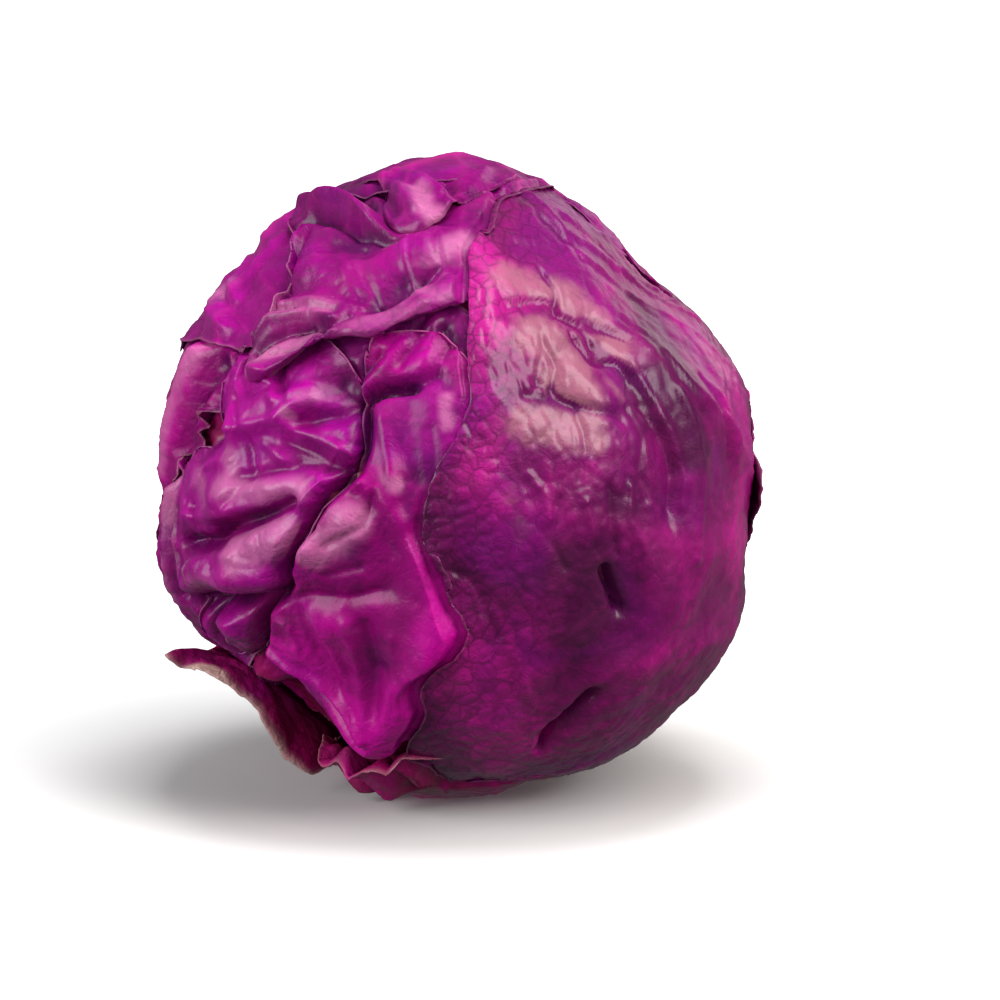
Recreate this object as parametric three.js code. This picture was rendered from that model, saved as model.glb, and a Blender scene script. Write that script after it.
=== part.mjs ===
// A red cabbage head lying on its side, cut from its stalk.
// The wrapper leaves grow from the stalk at the rear right, pass round the tight inner head and
// end with loose, crumpled margins at the crown, which faces the front left.
// Millimetres, +Z up. The origin is the middle of the small flat spot that the head lies on.
//
// Every leaf is a thin shell. All leaves share one lattice of directions from the head's centre,
// and along each direction they are stacked from the outside in, so no leaf crosses another.

import * as THREE from "three";
import { mergeVertices } from "three/addons/utils/BufferGeometryUtils.js";

// Driving dimensions
const CENTRE_HEIGHT = 78.5; // head's centre above the surface it lies on
const FRONT_RADIUS = 77;
const REAR_RADIUS = 74;
const LEAF_THICKNESS = 1.0;
const LEAF_GAP = 0.5;
const VIEW_TILT = 12; // degrees that the outline's plane leans back

// Radius of the head's outline, every 15 degrees anticlockwise from the right, seen from the front
const OUTLINE_RADII = [
  73.5, 75.5, 73, 69, 72.5, 77, 79.5, 78.5, 77, 74, 76, 74.5,
  73.5, 76, 76, 70, 71, 79, 79.5, 79, 80.8, 80.5, 78.5, 75,
];

// Stalk: longitude and latitude of its axis, and its sizes
const STALK_AT = [132, -15];
const STALK_RADIUS = 14.5;
const STALK_LENGTH = 13;
const STALK_CUT_AT = 76; // distance of the cut face from the head's centre
const STALK_SIDES = 28;
const STALK_SEAT_ANGLE = 24; // the inner head is flat within this angle of the stalk's axis
const STALK_CLEARANCE = 5.5; // leaf bases stop this far from the stalk's side
const DIMPLE_DEPTH = 4; // the head is drawn in round the stalk
const DIMPLE_WIDTH = 26;

// Lattice of directions: finer at the front, where the folds are
const LATTICE_DETAIL = 10;
const LATTICE_PULL = 0.33;
const LATTICE_FOCUS = [-22, 8];
const SNAP = 1.3; // an outline that passes this close to a lattice point passes through it

const LEAF_COLOUR = 0x8a1a6c;
const INNER_COLOUR = 0x6d1260;
const RIB_COLOUR = 0xa8237f;
const SHADED_COLOUR = 0x5e1048;
const STALK_COLOUR = 0xd9cfae;

const rad = THREE.MathUtils.degToRad;
const deg = THREE.MathUtils.radToDeg;

// Unit vector at a longitude and latitude: longitude 0 is the front, and it grows to the right.
function direction([lon, lat]) {
  return new THREE.Vector3(
    Math.sin(rad(lon)) * Math.cos(rad(lat)),
    -Math.cos(rad(lon)) * Math.cos(rad(lat)),
    Math.sin(rad(lat)),
  );
}

// Smooth closed curve through evenly spaced values, read at t steps from the first.
function closedCurve(values, t) {
  const n = values.length;
  const i = Math.floor(t);
  const f = t - i;
  const [a, b, c, d] = [-1, 0, 1, 2].map((k) => values[(((i + k) % n) + n) % n]);
  return 0.5 * (2 * b + (c - a) * f + (2 * a - 5 * b + 4 * c - d) * f * f + (3 * (b - c) + d - a) * f ** 3);
}

function smoothstep(low, high, x) {
  const t = Math.min(1, Math.max(0, (x - low) / (high - low)));
  return t * t * (3 - 2 * t);
}

// Distance in mm, near the surface, from a direction to a line of directions.
function distanceToLine(dir, line) {
  let nearest = Infinity;
  const part = new THREE.Line3();
  const foot = new THREE.Vector3();
  if (line.length === 1) return dir.distanceTo(line[0]) * FRONT_RADIUS;
  for (let i = 1; i < line.length; i++) {
    part.set(line[i - 1], line[i]).closestPointToPoint(dir, true, foot);
    nearest = Math.min(nearest, foot.distanceTo(dir));
  }
  return nearest * FRONT_RADIUS;
}

// A relief feature: a ridge, fold line, hollow or swelling along points given as
// longitude and latitude, raised by height (or sunk, where negative) and fading over width.
function relief(height, width, ...points) {
  const line = points.map(direction);
  return (dir) => {
    const d = distanceToLine(dir, line) / width;
    return height * Math.exp(-d * d);
  };
}

const STALK_AXIS = direction(STALK_AT);
const VIEW_TOWARDS = new THREE.Vector3(0, -Math.cos(rad(VIEW_TILT)), Math.sin(rad(VIEW_TILT)));
const VIEW_UP = new THREE.Vector3(0, Math.sin(rad(VIEW_TILT)), Math.cos(rad(VIEW_TILT)));

// Radius of the smooth head, before any leaf's own folds.
function headRadius(dir) {
  const across = dir.x;
  const up = dir.dot(VIEW_UP);
  const depth = dir.dot(VIEW_TOWARDS);
  const turn = (deg(Math.atan2(up, across)) + 360) % 360;
  const flatness = across * across + up * up;
  const outline = closedCurve(OUTLINE_RADII, (turn / 360) * OUTLINE_RADII.length);
  const facing = depth > 0 ? FRONT_RADIUS : REAR_RADIUS;
  const fromStalk = (dir.angleTo(STALK_AXIS) * FRONT_RADIUS) / DIMPLE_WIDTH;
  return outline * flatness + facing * (1 - flatness) - DIMPLE_DEPTH * Math.exp(-fromStalk * fromStalk);
}

// Radius at which the floor cuts a direction, for a surface that lies `clear` mm above it.
function floorRadius(dir, clear) {
  return dir.z < 0 ? (CENTRE_HEIGHT - clear) / -dir.z : Infinity;
}

// A leaf: its reach in degrees of arc from `centre`, at even bearings clockwise from the top, the
// relief it carries, and how far its free margin lifts off within `fade` mm, between two bearings.
class Leaf {
  constructor(name, colour, centre, reach, { folds = [], flare = 0, fade = 10, lifts = [0, 360] } = {}) {
    Object.assign(this, { name, colour, reach, folds, flare, fade, lifts });
    this.middle = direction(centre);
    this.east = new THREE.Vector3(Math.cos(rad(centre[0])), Math.sin(rad(centre[0])), 0);
    this.north = new THREE.Vector3().crossVectors(this.middle, this.east);
  }

  bearing(dir) {
    return (deg(Math.atan2(dir.dot(this.east), dir.dot(this.north))) + 360) % 360;
  }

  // Distance in mm from a direction to the leaf's margin, positive on the leaf.
  inside(dir) {
    const reach = closedCurve(this.reach, (this.bearing(dir) / 360) * this.reach.length);
    const toMargin = rad(reach - deg(dir.angleTo(this.middle))) * FRONT_RADIUS;
    const toStalk = dir.angleTo(STALK_AXIS) * FRONT_RADIUS - STALK_RADIUS - STALK_CLEARANCE;
    return Math.min(toMargin, toStalk);
  }

  // Share of the flare at a bearing: full in the middle of the free margin, none elsewhere.
  liftShare(bearing) {
    const [from, to] = this.lifts;
    if (to - from >= 360) return 1;
    const t = ((bearing - from + 360) % 360) / (to - from);
    return t > 1 ? 0 : smoothstep(0, 0.2, Math.min(t, 1 - t));
  }

  // Radius that the leaf's outer face would have with nothing over it.
  wanted(dir) {
    let radius = headRadius(dir);
    for (const fold of this.folds) radius += fold(dir);
    if (this.flare) {
      const margin = Math.max(0, this.inside(dir)) / this.fade;
      radius += this.flare * Math.exp(-margin) * this.liftShare(this.bearing(dir));
    }
    return radius;
  }
}

const LEFT_LEAF = new Leaf("left_leaf", SHADED_COLOUR, [-105, -20],
  [38, 38, 38, 36, 38, 36, 36, 40, 50, 56, 50, 42],
  { folds: [relief(2.5, 6, [-70, 4], [-72, -10], [-76, -22])], flare: 1.5, fade: 5, lifts: [40, 150] });

const RIB_LEAF = new Leaf("rib_leaf", RIB_COLOUR, [-140, 5],
  [62, 66, 72, 78, 85, 78, 64, 56, 50, 48, 50, 52, 54, 58, 64, 74, 84, 92, 84, 72, 64, 60, 58, 60],
  {
    folds: [
      relief(3, 7, [-68, 29], [-72, 21], [-76, 12], [-79, 4]),
      relief(-2, 4, [-62, 27], [-64, 18], [-70, 9]),
    ],
    flare: 2.5, fade: 5, lifts: [50, 92],
  });

const CROWN_LEAF = new Leaf("crown_leaf", LEAF_COLOUR, [-46, -4],
  [25, 30, 36, 40, 34, 26, 22, 20, 19, 20, 22, 24, 27, 32, 34, 28, 23, 21, 19, 18, 18, 19, 17, 20],
  {
    folds: [
      relief(3, 6, [-54, 2], [-40, 6], [-25, 13]),
      relief(-4, 4.5, [-63, -7], [-51, -4], [-43, 0], [-35, 5], [-27, 8]),
      relief(2.5, 9, [-47, -11], [-40, -8]),
      relief(-5, 4.5, [-63, -21], [-50, -18], [-42, -17]),
      relief(4, 8, [-54, -25]),
      relief(-6, 8, [-57, 16]),
      relief(2.5, 4, [-45, 17], [-33, 20], [-24, 21]),
      relief(-5, 5, [-24, 27], [-18, 25], [-16, 17]),
    ],
  });

const FAN_LEAF = new Leaf("fan_leaf", RIB_COLOUR, [-18, -12],
  [38, 42, 42, 38, 32, 28, 26, 26, 28, 30, 34, 38, 41, 38, 32, 34, 32, 21, 17, 15, 15, 16, 17, 22],
  {
    folds: [
      relief(3.5, 7, [-18, 10], [-12, -3], [-7, -12], [-4, -21], [-6, -29], [-14, -40], [-22, -48]),
      relief(2.5, 8, [-21, 1], [-28, -5]),
      relief(-2, 5, [-23, -38], [-22, -28], [-22, -18]),
      relief(2, 5, [-24, -46], [-32, -34], [-42, -27]),
      relief(4, 9, [-24, -50]),
      relief(-1.5, 6, [-40, -17], [-26, -15], [-10, -17]),
      relief(-4, 4, [-3, 29], [-12, 28], [-18, 26]),
      relief(-2.5, 3.5, [-18, 18], [-22, 9], [-26, 4], [-31, -3], [-35, -10], [-41, -19], [-48, -27]),
    ],
  });

const SHOULDER_LEAF = new Leaf("shoulder_leaf", LEAF_COLOUR, [-165, 50],
  [58, 66, 76, 84, 78, 66, 59, 56, 58, 62, 66, 66, 66, 70, 78, 84, 88, 84, 70, 55, 48, 46, 48, 54],
  {
    folds: [
      relief(2.5, 6, [-94, 44], [-80, 37], [-66, 32]),
      relief(-2, 5, [-93, 36], [-78, 31]),
      relief(2, 7, [-140, 20], [-170, 10], [165, 0]),
    ],
    flare: 3, fade: 6, lifts: [52, 100],
  });

const BROW_LEAF = new Leaf("brow_leaf", LEAF_COLOUR, [-30, 52],
  [30, 34, 34, 30, 27, 26, 25, 22, 20, 19, 19, 20, 23, 29, 33, 27, 21, 18, 19, 21, 32, 34, 27, 27],
  {
    folds: [
      relief(4, 5, [-44, 23], [-35, 29], [-27, 34], [-21, 35]),
      relief(-3, 3.5, [-47, 29], [-37, 34], [-24, 37]),
      relief(2.5, 4, [-49, 33], [-38, 38], [-25, 41]),
      relief(-2, 3, [-36, 55], [-24, 45], [-26, 39]),
      relief(3.5, 5, [-15, 38], [-8, 42], [-1, 46]),
      relief(5, 5, [-96, 57], [-82, 64], [-64, 65], [-44, 62], [-29, 61], [-18, 60]),
    ],
    flare: 2, fade: 5, lifts: [130, 250],
  });

const RIGHT_LEAF = new Leaf("right_leaf", SHADED_COLOUR, [50, -5],
  [80, 80, 76, 75, 76, 80, 84, 86, 82, 76, 70, 66, 62, 67, 69, 67, 57, 50, 56, 58, 55, 61, 70, 76],
  {
    folds: [
      relief(1.8, 6, [8, 60], [9, 50], [8, 40], [7, 28]),
      relief(-2.5, 4, [30, 36], [39, 29], [40, 22], [43, 16], [45, 9], [43, 2]),
      relief(-1.5, 4, [13, 44], [25, 44], [33, 40], [44, 35]),
      relief(-3.5, 3, [31, -31], [27, -40], [25, -51]),
      relief(-3, 2.5, [29, -8], [34, -16]),
      relief(-1.5, 4, [0, -6], [5, -12], [8, -19]),
      relief(1.5, 6, [48, 33], [58, 20], [70, 10], [90, 0], [110, -10]),
      relief(1.5, 6, [35, -26], [60, -26], [90, -24], [112, -20]),
    ],
    flare: 1.8, fade: 6, lifts: [195, 345],
  });

const TOP_LEAF = new Leaf("top_leaf", LEAF_COLOUR, [150, 70],
  [47, 43, 36, 34, 36, 40, 44, 48, 50, 54, 62, 74, 84, 88, 84, 70, 56, 46, 38, 28, 20, 17, 27, 41],
  {
    folds: [
      relief(3.5, 5, [-60, 77], [-30, 76], [-8, 72]),
      relief(3, 4, [-40, 72], [-22, 68], [-16, 63]),
      relief(-2.5, 3.5, [-45, 77], [-20, 73]),
      relief(2, 8, [150, 50], [142, 30], [136, 10]),
    ],
    flare: 2.5, fade: 5, lifts: [300, 410],
  });

const TORN_LEAF = new Leaf("torn_leaf", SHADED_COLOUR, [-140, -55],
  [42, 42, 42, 44, 48, 50, 50, 45, 43, 43, 42, 42, 44, 48, 54, 62, 72, 80, 80, 72, 62, 54, 48, 44],
  {
    folds: [
      relief(2, 7, [-120, -40], [-165, -40], [160, -30]),
      relief(4, 9, [-76, -30]),
    ],
    flare: 11.5, fade: 14, lifts: [62, 150],
  });

const UNDERSIDE_LEAF = new Leaf("underside_leaf", RIB_COLOUR, [20, -82],
  [26, 28, 32, 38, 46, 56, 66, 78, 80, 70, 56, 46, 38, 33, 31, 30, 30, 30, 31, 30, 31, 32, 30, 26],
  {
    folds: [
      relief(1.5, 24, [0, -90]),
      relief(2, 6, [-44, -60], [-42, -68]),
      relief(2, 6, [-20, -57], [-18, -66]),
    ],
    flare: 4.5, fade: 7, lifts: [262, 345],
  });

const REAR_STUB_LEAF = new Leaf("rear_stub_leaf", SHADED_COLOUR, [125, 25],
  [34, 28, 26, 28, 34, 44, 46, 40, 32, 28, 32, 37],
  { flare: 3, fade: 6, lifts: [270, 400] });

const RIGHT_STUB_LEAF = new Leaf("right_stub_leaf", SHADED_COLOUR, [115, 0],
  [18, 16, 18, 24, 32, 30, 24, 22, 28, 31, 26, 20],
  { flare: 3.5, fade: 6, lifts: [215, 330] });

// From the innermost leaf to the outermost
const LEAVES = [
  LEFT_LEAF, RIB_LEAF, CROWN_LEAF, FAN_LEAF, SHOULDER_LEAF, BROW_LEAF, TORN_LEAF,
  UNDERSIDE_LEAF, RIGHT_LEAF, TOP_LEAF, REAR_STUB_LEAF, RIGHT_STUB_LEAF,
];

// Relief of the tight inner head, seen in the gaps between the wrapper leaves
const INNER_FOLDS = [
  relief(-5, 9, [-9, 35], [-15, 33]),
  relief(2, 3, [-12, 38], [-11, 30]),
  relief(2, 3, [-6, 40], [-4, 31]),
  relief(-6, 11, [-60, -42], [-50, -48]),
  relief(-5, 6, [-57, 16]),
];
const INNER_GAP = 0.8;

// The lattice: an icosahedron's points, drawn together towards the front.
function makeLattice() {
  const ball = new THREE.IcosahedronGeometry(1, LATTICE_DETAIL);
  ball.deleteAttribute("normal");
  ball.deleteAttribute("uv");
  const merged = mergeVertices(ball, 1e-5);
  const pull = direction(LATTICE_FOCUS).multiplyScalar(LATTICE_PULL);
  const place = merged.getAttribute("position");
  const points = [];
  for (let i = 0; i < place.count; i++) {
    points.push(new THREE.Vector3().fromBufferAttribute(place, i).add(pull).normalize());
  }
  const triangles = [];
  for (let i = 0; i < merged.index.count; i += 3) {
    triangles.push([0, 1, 2].map((k) => merged.index.getX(i + k)));
  }
  return { points, triangles };
}

const LATTICE = makeLattice();

// Signed distance to a leaf's margin at every lattice point, with near misses snapped to it.
function marginField(leaf) {
  return LATTICE.points.map((dir) => {
    const d = leaf.inside(dir);
    return Math.abs(d) < SNAP ? 0 : d;
  });
}

// Stacks the leaves along every lattice direction, from the outside in.
// A leaf takes its wanted radius or passes under the leaf over it, whichever is lower.
function stackLeaves() {
  const ceiling = LATTICE.points.map((dir) => floorRadius(dir, 0));
  const shells = new Map();
  for (const leaf of [...LEAVES].reverse()) {
    const field = marginField(leaf);
    const near = new Set();
    for (const triangle of LATTICE.triangles) {
      if (triangle.some((p) => field[p] > 0)) triangle.forEach((p) => near.add(p));
    }
    const outer = [];
    for (const p of near) {
      outer[p] = Math.min(leaf.wanted(LATTICE.points[p]), ceiling[p]);
      ceiling[p] = outer[p] - LEAF_THICKNESS - LEAF_GAP;
    }
    shells.set(leaf, { field, outer });
  }
  return { shells, ceiling };
}

// Keeps the part of a lattice triangle on the leaf's side of its margin, as a list of corners.
// A corner is a lattice point, or a cut between two of them at a share of the way.
function clipTriangle(triangle, field) {
  const corners = [];
  triangle.forEach((p, i) => {
    const q = triangle[(i + 1) % 3];
    if (field[p] >= 0) corners.push({ key: `${p}`, p, q: p, t: 0 });
    if (field[p] * field[q] < 0) {
      const [a, b] = p < q ? [p, q] : [q, p];
      corners.push({ key: `${a}/${b}`, p: a, q: b, t: field[a] / (field[a] - field[b]) });
    }
  });
  return corners;
}

// Builds a leaf's closed shell from its margin field and its outer radius at each lattice point.
function shellGeometry({ field, outer }) {
  const positions = [];
  const indices = [];
  const numbers = new Map();
  const edges = new Map();
  const outerPoint = (p, sink) => LATTICE.points[p].clone().multiplyScalar(outer[p] - sink);
  const number = (corner) => {
    if (!numbers.has(corner.key)) {
      numbers.set(corner.key, positions.length / 3);
      for (const sink of [0, LEAF_THICKNESS]) {
        const place = outerPoint(corner.p, sink).lerp(outerPoint(corner.q, sink), corner.t);
        positions.push(place.x, place.y, place.z + CENTRE_HEIGHT);
      }
    }
    return numbers.get(corner.key);
  };
  for (const triangle of LATTICE.triangles) {
    if (!triangle.some((p) => field[p] > 0)) continue;
    const ring = clipTriangle(triangle, field).map(number);
    for (let i = 2; i < ring.length; i++) {
      indices.push(ring[0], ring[i - 1], ring[i]);
      indices.push(ring[0] + 1, ring[i] + 1, ring[i - 1] + 1);
    }
    ring.forEach((a, i) => {
      const b = ring[(i + 1) % ring.length];
      if (!edges.delete(`${b}>${a}`)) edges.set(`${a}>${b}`, [a, b]);
    });
  }
  for (const [a, b] of edges.values()) {
    indices.push(a, a + 1, b + 1);
    indices.push(a, b + 1, b);
  }
  return new THREE.BufferGeometry()
    .setAttribute("position", new THREE.Float32BufferAttribute(positions, 3))
    .setIndex(indices);
}

// The inner head fills what the leaves leave, and is flattened under the stalk.
function innerHeadGeometry(ceiling) {
  const positions = [];
  LATTICE.points.forEach((dir, p) => {
    let radius = headRadius(dir) - INNER_GAP;
    for (const fold of INNER_FOLDS) radius += fold(dir);
    radius = Math.min(radius, ceiling[p] - INNER_GAP);
    if (dir.angleTo(STALK_AXIS) < rad(STALK_SEAT_ANGLE)) {
      radius = Math.min(radius, (STALK_CUT_AT - STALK_LENGTH - INNER_GAP) / dir.dot(STALK_AXIS));
    }
    positions.push(dir.x * radius, dir.y * radius, dir.z * radius + CENTRE_HEIGHT);
  });
  return new THREE.BufferGeometry()
    .setAttribute("position", new THREE.Float32BufferAttribute(positions, 3))
    .setIndex(LATTICE.triangles.flat());
}

function material(colour, roughness = 0.5) {
  return new THREE.MeshStandardMaterial({ color: colour, roughness, metalness: 0 });
}

function namedMesh(name, geometry, finish) {
  const mesh = new THREE.Mesh(geometry, finish);
  mesh.name = name;
  return mesh;
}

// The cut stalk: a short round plug whose flat cut face looks out of the dimple.
function makeStalk() {
  const plug = new THREE.CylinderGeometry(STALK_RADIUS, STALK_RADIUS, STALK_LENGTH, STALK_SIDES);
  const mesh = namedMesh("stalk", plug, material(STALK_COLOUR, 0.7));
  mesh.quaternion.setFromUnitVectors(new THREE.Vector3(0, 1, 0), STALK_AXIS);
  mesh.position.copy(STALK_AXIS).multiplyScalar(STALK_CUT_AT - STALK_LENGTH / 2);
  mesh.position.z += CENTRE_HEIGHT;
  return mesh;
}

function makeCabbage() {
  const cabbage = new THREE.Group();
  const { shells, ceiling } = stackLeaves();
  cabbage.add(namedMesh("inner_head", innerHeadGeometry(ceiling), material(INNER_COLOUR)));
  for (const [leaf, shell] of shells) {
    cabbage.add(namedMesh(leaf.name, shellGeometry(shell), material(leaf.colour)));
  }
  cabbage.add(makeStalk());
  return cabbage;
}

export default makeCabbage();
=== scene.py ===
"""A red cabbage head lying on its side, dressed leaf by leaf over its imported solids.

Sizes are in millimetres until a mesh is written in metres. Longitude 0 is the front of the head,
growing to the right, and each leaf is drawn outward from a middle point by bearing and reach.
"""

import logging
import math
from dataclasses import dataclass
from enum import Enum

import bmesh
import bpy
import numpy as np
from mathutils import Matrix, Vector, noise


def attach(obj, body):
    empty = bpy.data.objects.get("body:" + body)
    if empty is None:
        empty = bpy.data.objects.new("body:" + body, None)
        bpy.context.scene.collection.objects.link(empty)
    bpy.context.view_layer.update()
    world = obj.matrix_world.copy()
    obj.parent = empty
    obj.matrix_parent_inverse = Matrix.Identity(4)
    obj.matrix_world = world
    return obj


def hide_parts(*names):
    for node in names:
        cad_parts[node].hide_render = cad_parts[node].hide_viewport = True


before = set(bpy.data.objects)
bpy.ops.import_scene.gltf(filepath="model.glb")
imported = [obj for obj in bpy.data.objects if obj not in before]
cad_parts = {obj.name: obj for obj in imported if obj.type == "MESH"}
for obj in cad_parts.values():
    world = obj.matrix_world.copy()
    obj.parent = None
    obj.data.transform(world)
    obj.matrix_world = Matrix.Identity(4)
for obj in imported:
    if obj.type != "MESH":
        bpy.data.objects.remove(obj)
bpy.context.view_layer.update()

log = logging.getLogger("cabbage")
logging.basicConfig(level=logging.INFO, format="%(name)s: %(message)s")

MM = 0.001
CENTRE_HEIGHT = 78.5
FRONT_RADIUS = 77.0
REAR_RADIUS = 74.0
VIEW_TILT = 12.0
STALK_AT = (132.0, -15.0)
STALK_HOLE = 20.0
STALK_DENT = 4.0
STALK_DENT_WIDTH = 26.0
FACET_LIMIT = 1.6
OUTLINE_RADII = (
    73.5, 75.5, 73.0, 69.0, 72.5, 77.0, 79.5, 78.5, 77.0, 74.0, 76.0, 74.5,
    73.5, 76.0, 76.0, 70.0, 71.0, 79.0, 79.5, 79.0, 80.8, 80.5, 78.5, 75.0,
)

Point = tuple[float, float]
Colour = tuple[float, float, float]
Array = np.ndarray
Materials = dict[str, bpy.types.Material]


def direction(place: Point) -> Array:
    """Returns the unit vector of a longitude and latitude in degrees."""
    lon, lat = np.radians(place)
    return np.array([np.sin(lon) * np.cos(lat), -np.cos(lon) * np.cos(lat), np.sin(lat)])


def distance_from(pole: Array, dirs: Array) -> Array:
    """Returns how far unit vectors lie from one of them, along the surface in mm."""
    return np.arccos(np.clip(dirs @ pole, -1.0, 1.0)) * FRONT_RADIUS


def smoothstep(low: float, high: float, x: Array) -> Array:
    """Returns a smooth rise from 0 at low to 1 at high, at each x."""
    t = np.clip((x - low) / (high - low), 0.0, 1.0)
    return t * t * (3.0 - 2.0 * t)


def closed_curve(values: Array, t: Array) -> Array:
    """Reads a smooth closed curve through evenly spaced values.

    Args:
        values: The values, the first following the last.
        t: Steps from the first value.

    Returns:
        The curve at each step.
    """
    n = len(values)
    i = np.floor(t).astype(int)
    f = t - i
    a, b, c, d = (values[(i + k) % n] for k in (-1, 0, 1, 2))
    cubic = 3 * (b - c) + d - a
    return 0.5 * (2 * b + (c - a) * f + (2 * a - 5 * b + 4 * c - d) * f**2 + cubic * f**3)


def distance_to_line(dirs: Array, line: Array) -> Array:
    """Measures how far directions lie from a line of directions, near the surface.

    Args:
        dirs: Unit vectors, one a row.
        line: The line's unit vectors, one a row.

    Returns:
        The distances in mm.
    """
    if len(line) == 1:
        return np.linalg.norm(dirs - line[0], axis=1) * FRONT_RADIUS
    nearest = np.full(len(dirs), np.inf)
    for start, end in zip(line[:-1], line[1:]):
        along = end - start
        share = np.clip((dirs - start) @ along / (along @ along), 0.0, 1.0)
        gap = dirs - start - share[:, None] * along
        nearest = np.minimum(nearest, np.einsum("ij,ij->i", gap, gap))
    return np.sqrt(nearest) * FRONT_RADIUS


def lumps(points: Array, size: float, seed: int, octaves: int = 1) -> Array:
    """Reads smooth noise at points.

    Args:
        points: Places in mm.
        size: The noise's grain in mm.
        seed: Which noise to read.
        octaves: How many ever finer layers are added.

    Returns:
        Values of about -1 to 1.
    """
    shift = Vector((seed * 17.3, seed * -9.1, seed * 4.7))
    if octaves == 1:
        return np.array([noise.noise(Vector(p) / size + shift) for p in points])
    return np.array([noise.fractal(Vector(p) / size + shift, 1.0, 2.1, octaves) for p in points])


def cells(points: Array, size: float, seed: int) -> Array:
    """Splits space into irregular cells.

    Args:
        points: Places in mm.
        size: The cells' size in mm.
        seed: Which cells.

    Returns:
        Each point's distance to its cell's border in mm.
    """
    shift = Vector((seed * 5.9, seed * 13.7, seed * -7.3))
    border = np.empty(len(points))
    for i, p in enumerate(points):
        nearest, second = noise.voronoi(Vector(p) / size + shift)[0][:2]
        border[i] = second - nearest
    return border * size


def facets(dirs: Array, size: float, seed: int) -> Array:
    """Reads how far a ball's flat facets rise towards their shared edges.

    Args:
        dirs: Unit vectors.
        size: The facets' mean width in mm.
        seed: Which facets.

    Returns:
        Heights in mm, 0 in the middle of a facet.
    """
    count = int(4.0 * math.pi * (FRONT_RADIUS / size) ** 2)
    sides = np.random.default_rng(seed).normal(size=(count, 3))
    sides /= np.linalg.norm(sides, axis=1)[:, None]
    best = np.full(len(dirs), -1.0)
    for part in np.array_split(sides, 1 + count // 60):
        best = np.maximum(best, (dirs @ part.T).max(axis=1))
    return np.minimum(FRONT_RADIUS * (1.0 / np.maximum(best, 0.5) - 1.0), FACET_LIMIT)


@dataclass(frozen=True)
class Fold:
    """A ridge, or a crease where the height is negative, along a line on the head."""

    height: float
    width: float
    points: tuple[Point, ...]

    def at(self, dirs: Array) -> Array:
        """Returns the fold's height in mm along unit vectors."""
        line = np.array([direction(p) for p in self.points])
        return self.height * np.exp(-((distance_to_line(dirs, line) / self.width) ** 2))


def route(text: str) -> tuple[Point, ...]:
    """Reads pairs such as "-9,28 -16,27"."""
    return tuple(tuple(float(n) for n in pair.split(",")) for pair in text.split())


def folds(text: str) -> tuple[Fold, ...]:
    """Reads folds such as "-3 1.5 -64,-8 -54,-6; 4 5 -53,-24": height, width, then the line."""
    rows = (row.split(maxsplit=2) for row in text.split(";"))
    return tuple(Fold(float(height), float(width), route(line)) for height, width, line in rows)


def raised(heights: Array, rows: tuple[Fold, ...], dirs: Array) -> Array:
    """Returns heights in mm along unit vectors, with folds added."""
    for fold in rows:
        heights = heights + fold.at(dirs)
    return heights


@dataclass(frozen=True)
class Curl:
    """A stretch of margin that rolls over, between two bearings."""

    start: float
    end: float
    width: float
    turn: float
    outward: bool = True

    def share(self, bearing: Array) -> Array:
        """Returns how much of the roll is present at bearings, from 0 to 1."""
        span = self.end - self.start
        t = ((bearing - self.start) % 360.0) / span
        return np.where(t > 1.0, 0.0, smoothstep(0.0, 0.25, np.minimum(t, 1.0 - t)))


@dataclass(frozen=True)
class Surface:
    """How a leaf's surface is worked between its main folds, in mm."""

    puff: float = 0.25
    puff_size: float = 4.5
    crumple: float = 0.5
    crumple_size: float = 14.0
    facet: float = 0.8
    facet_size: float = 13.0
    vein: float = 0.4
    vein_spacing: float = 17.0
    midrib: float = 1.2
    ruffle: float = 0.6
    ruffle_size: float = 9.0
    ragged: float = 0.6
    ragged_size: float = 5.0


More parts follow.
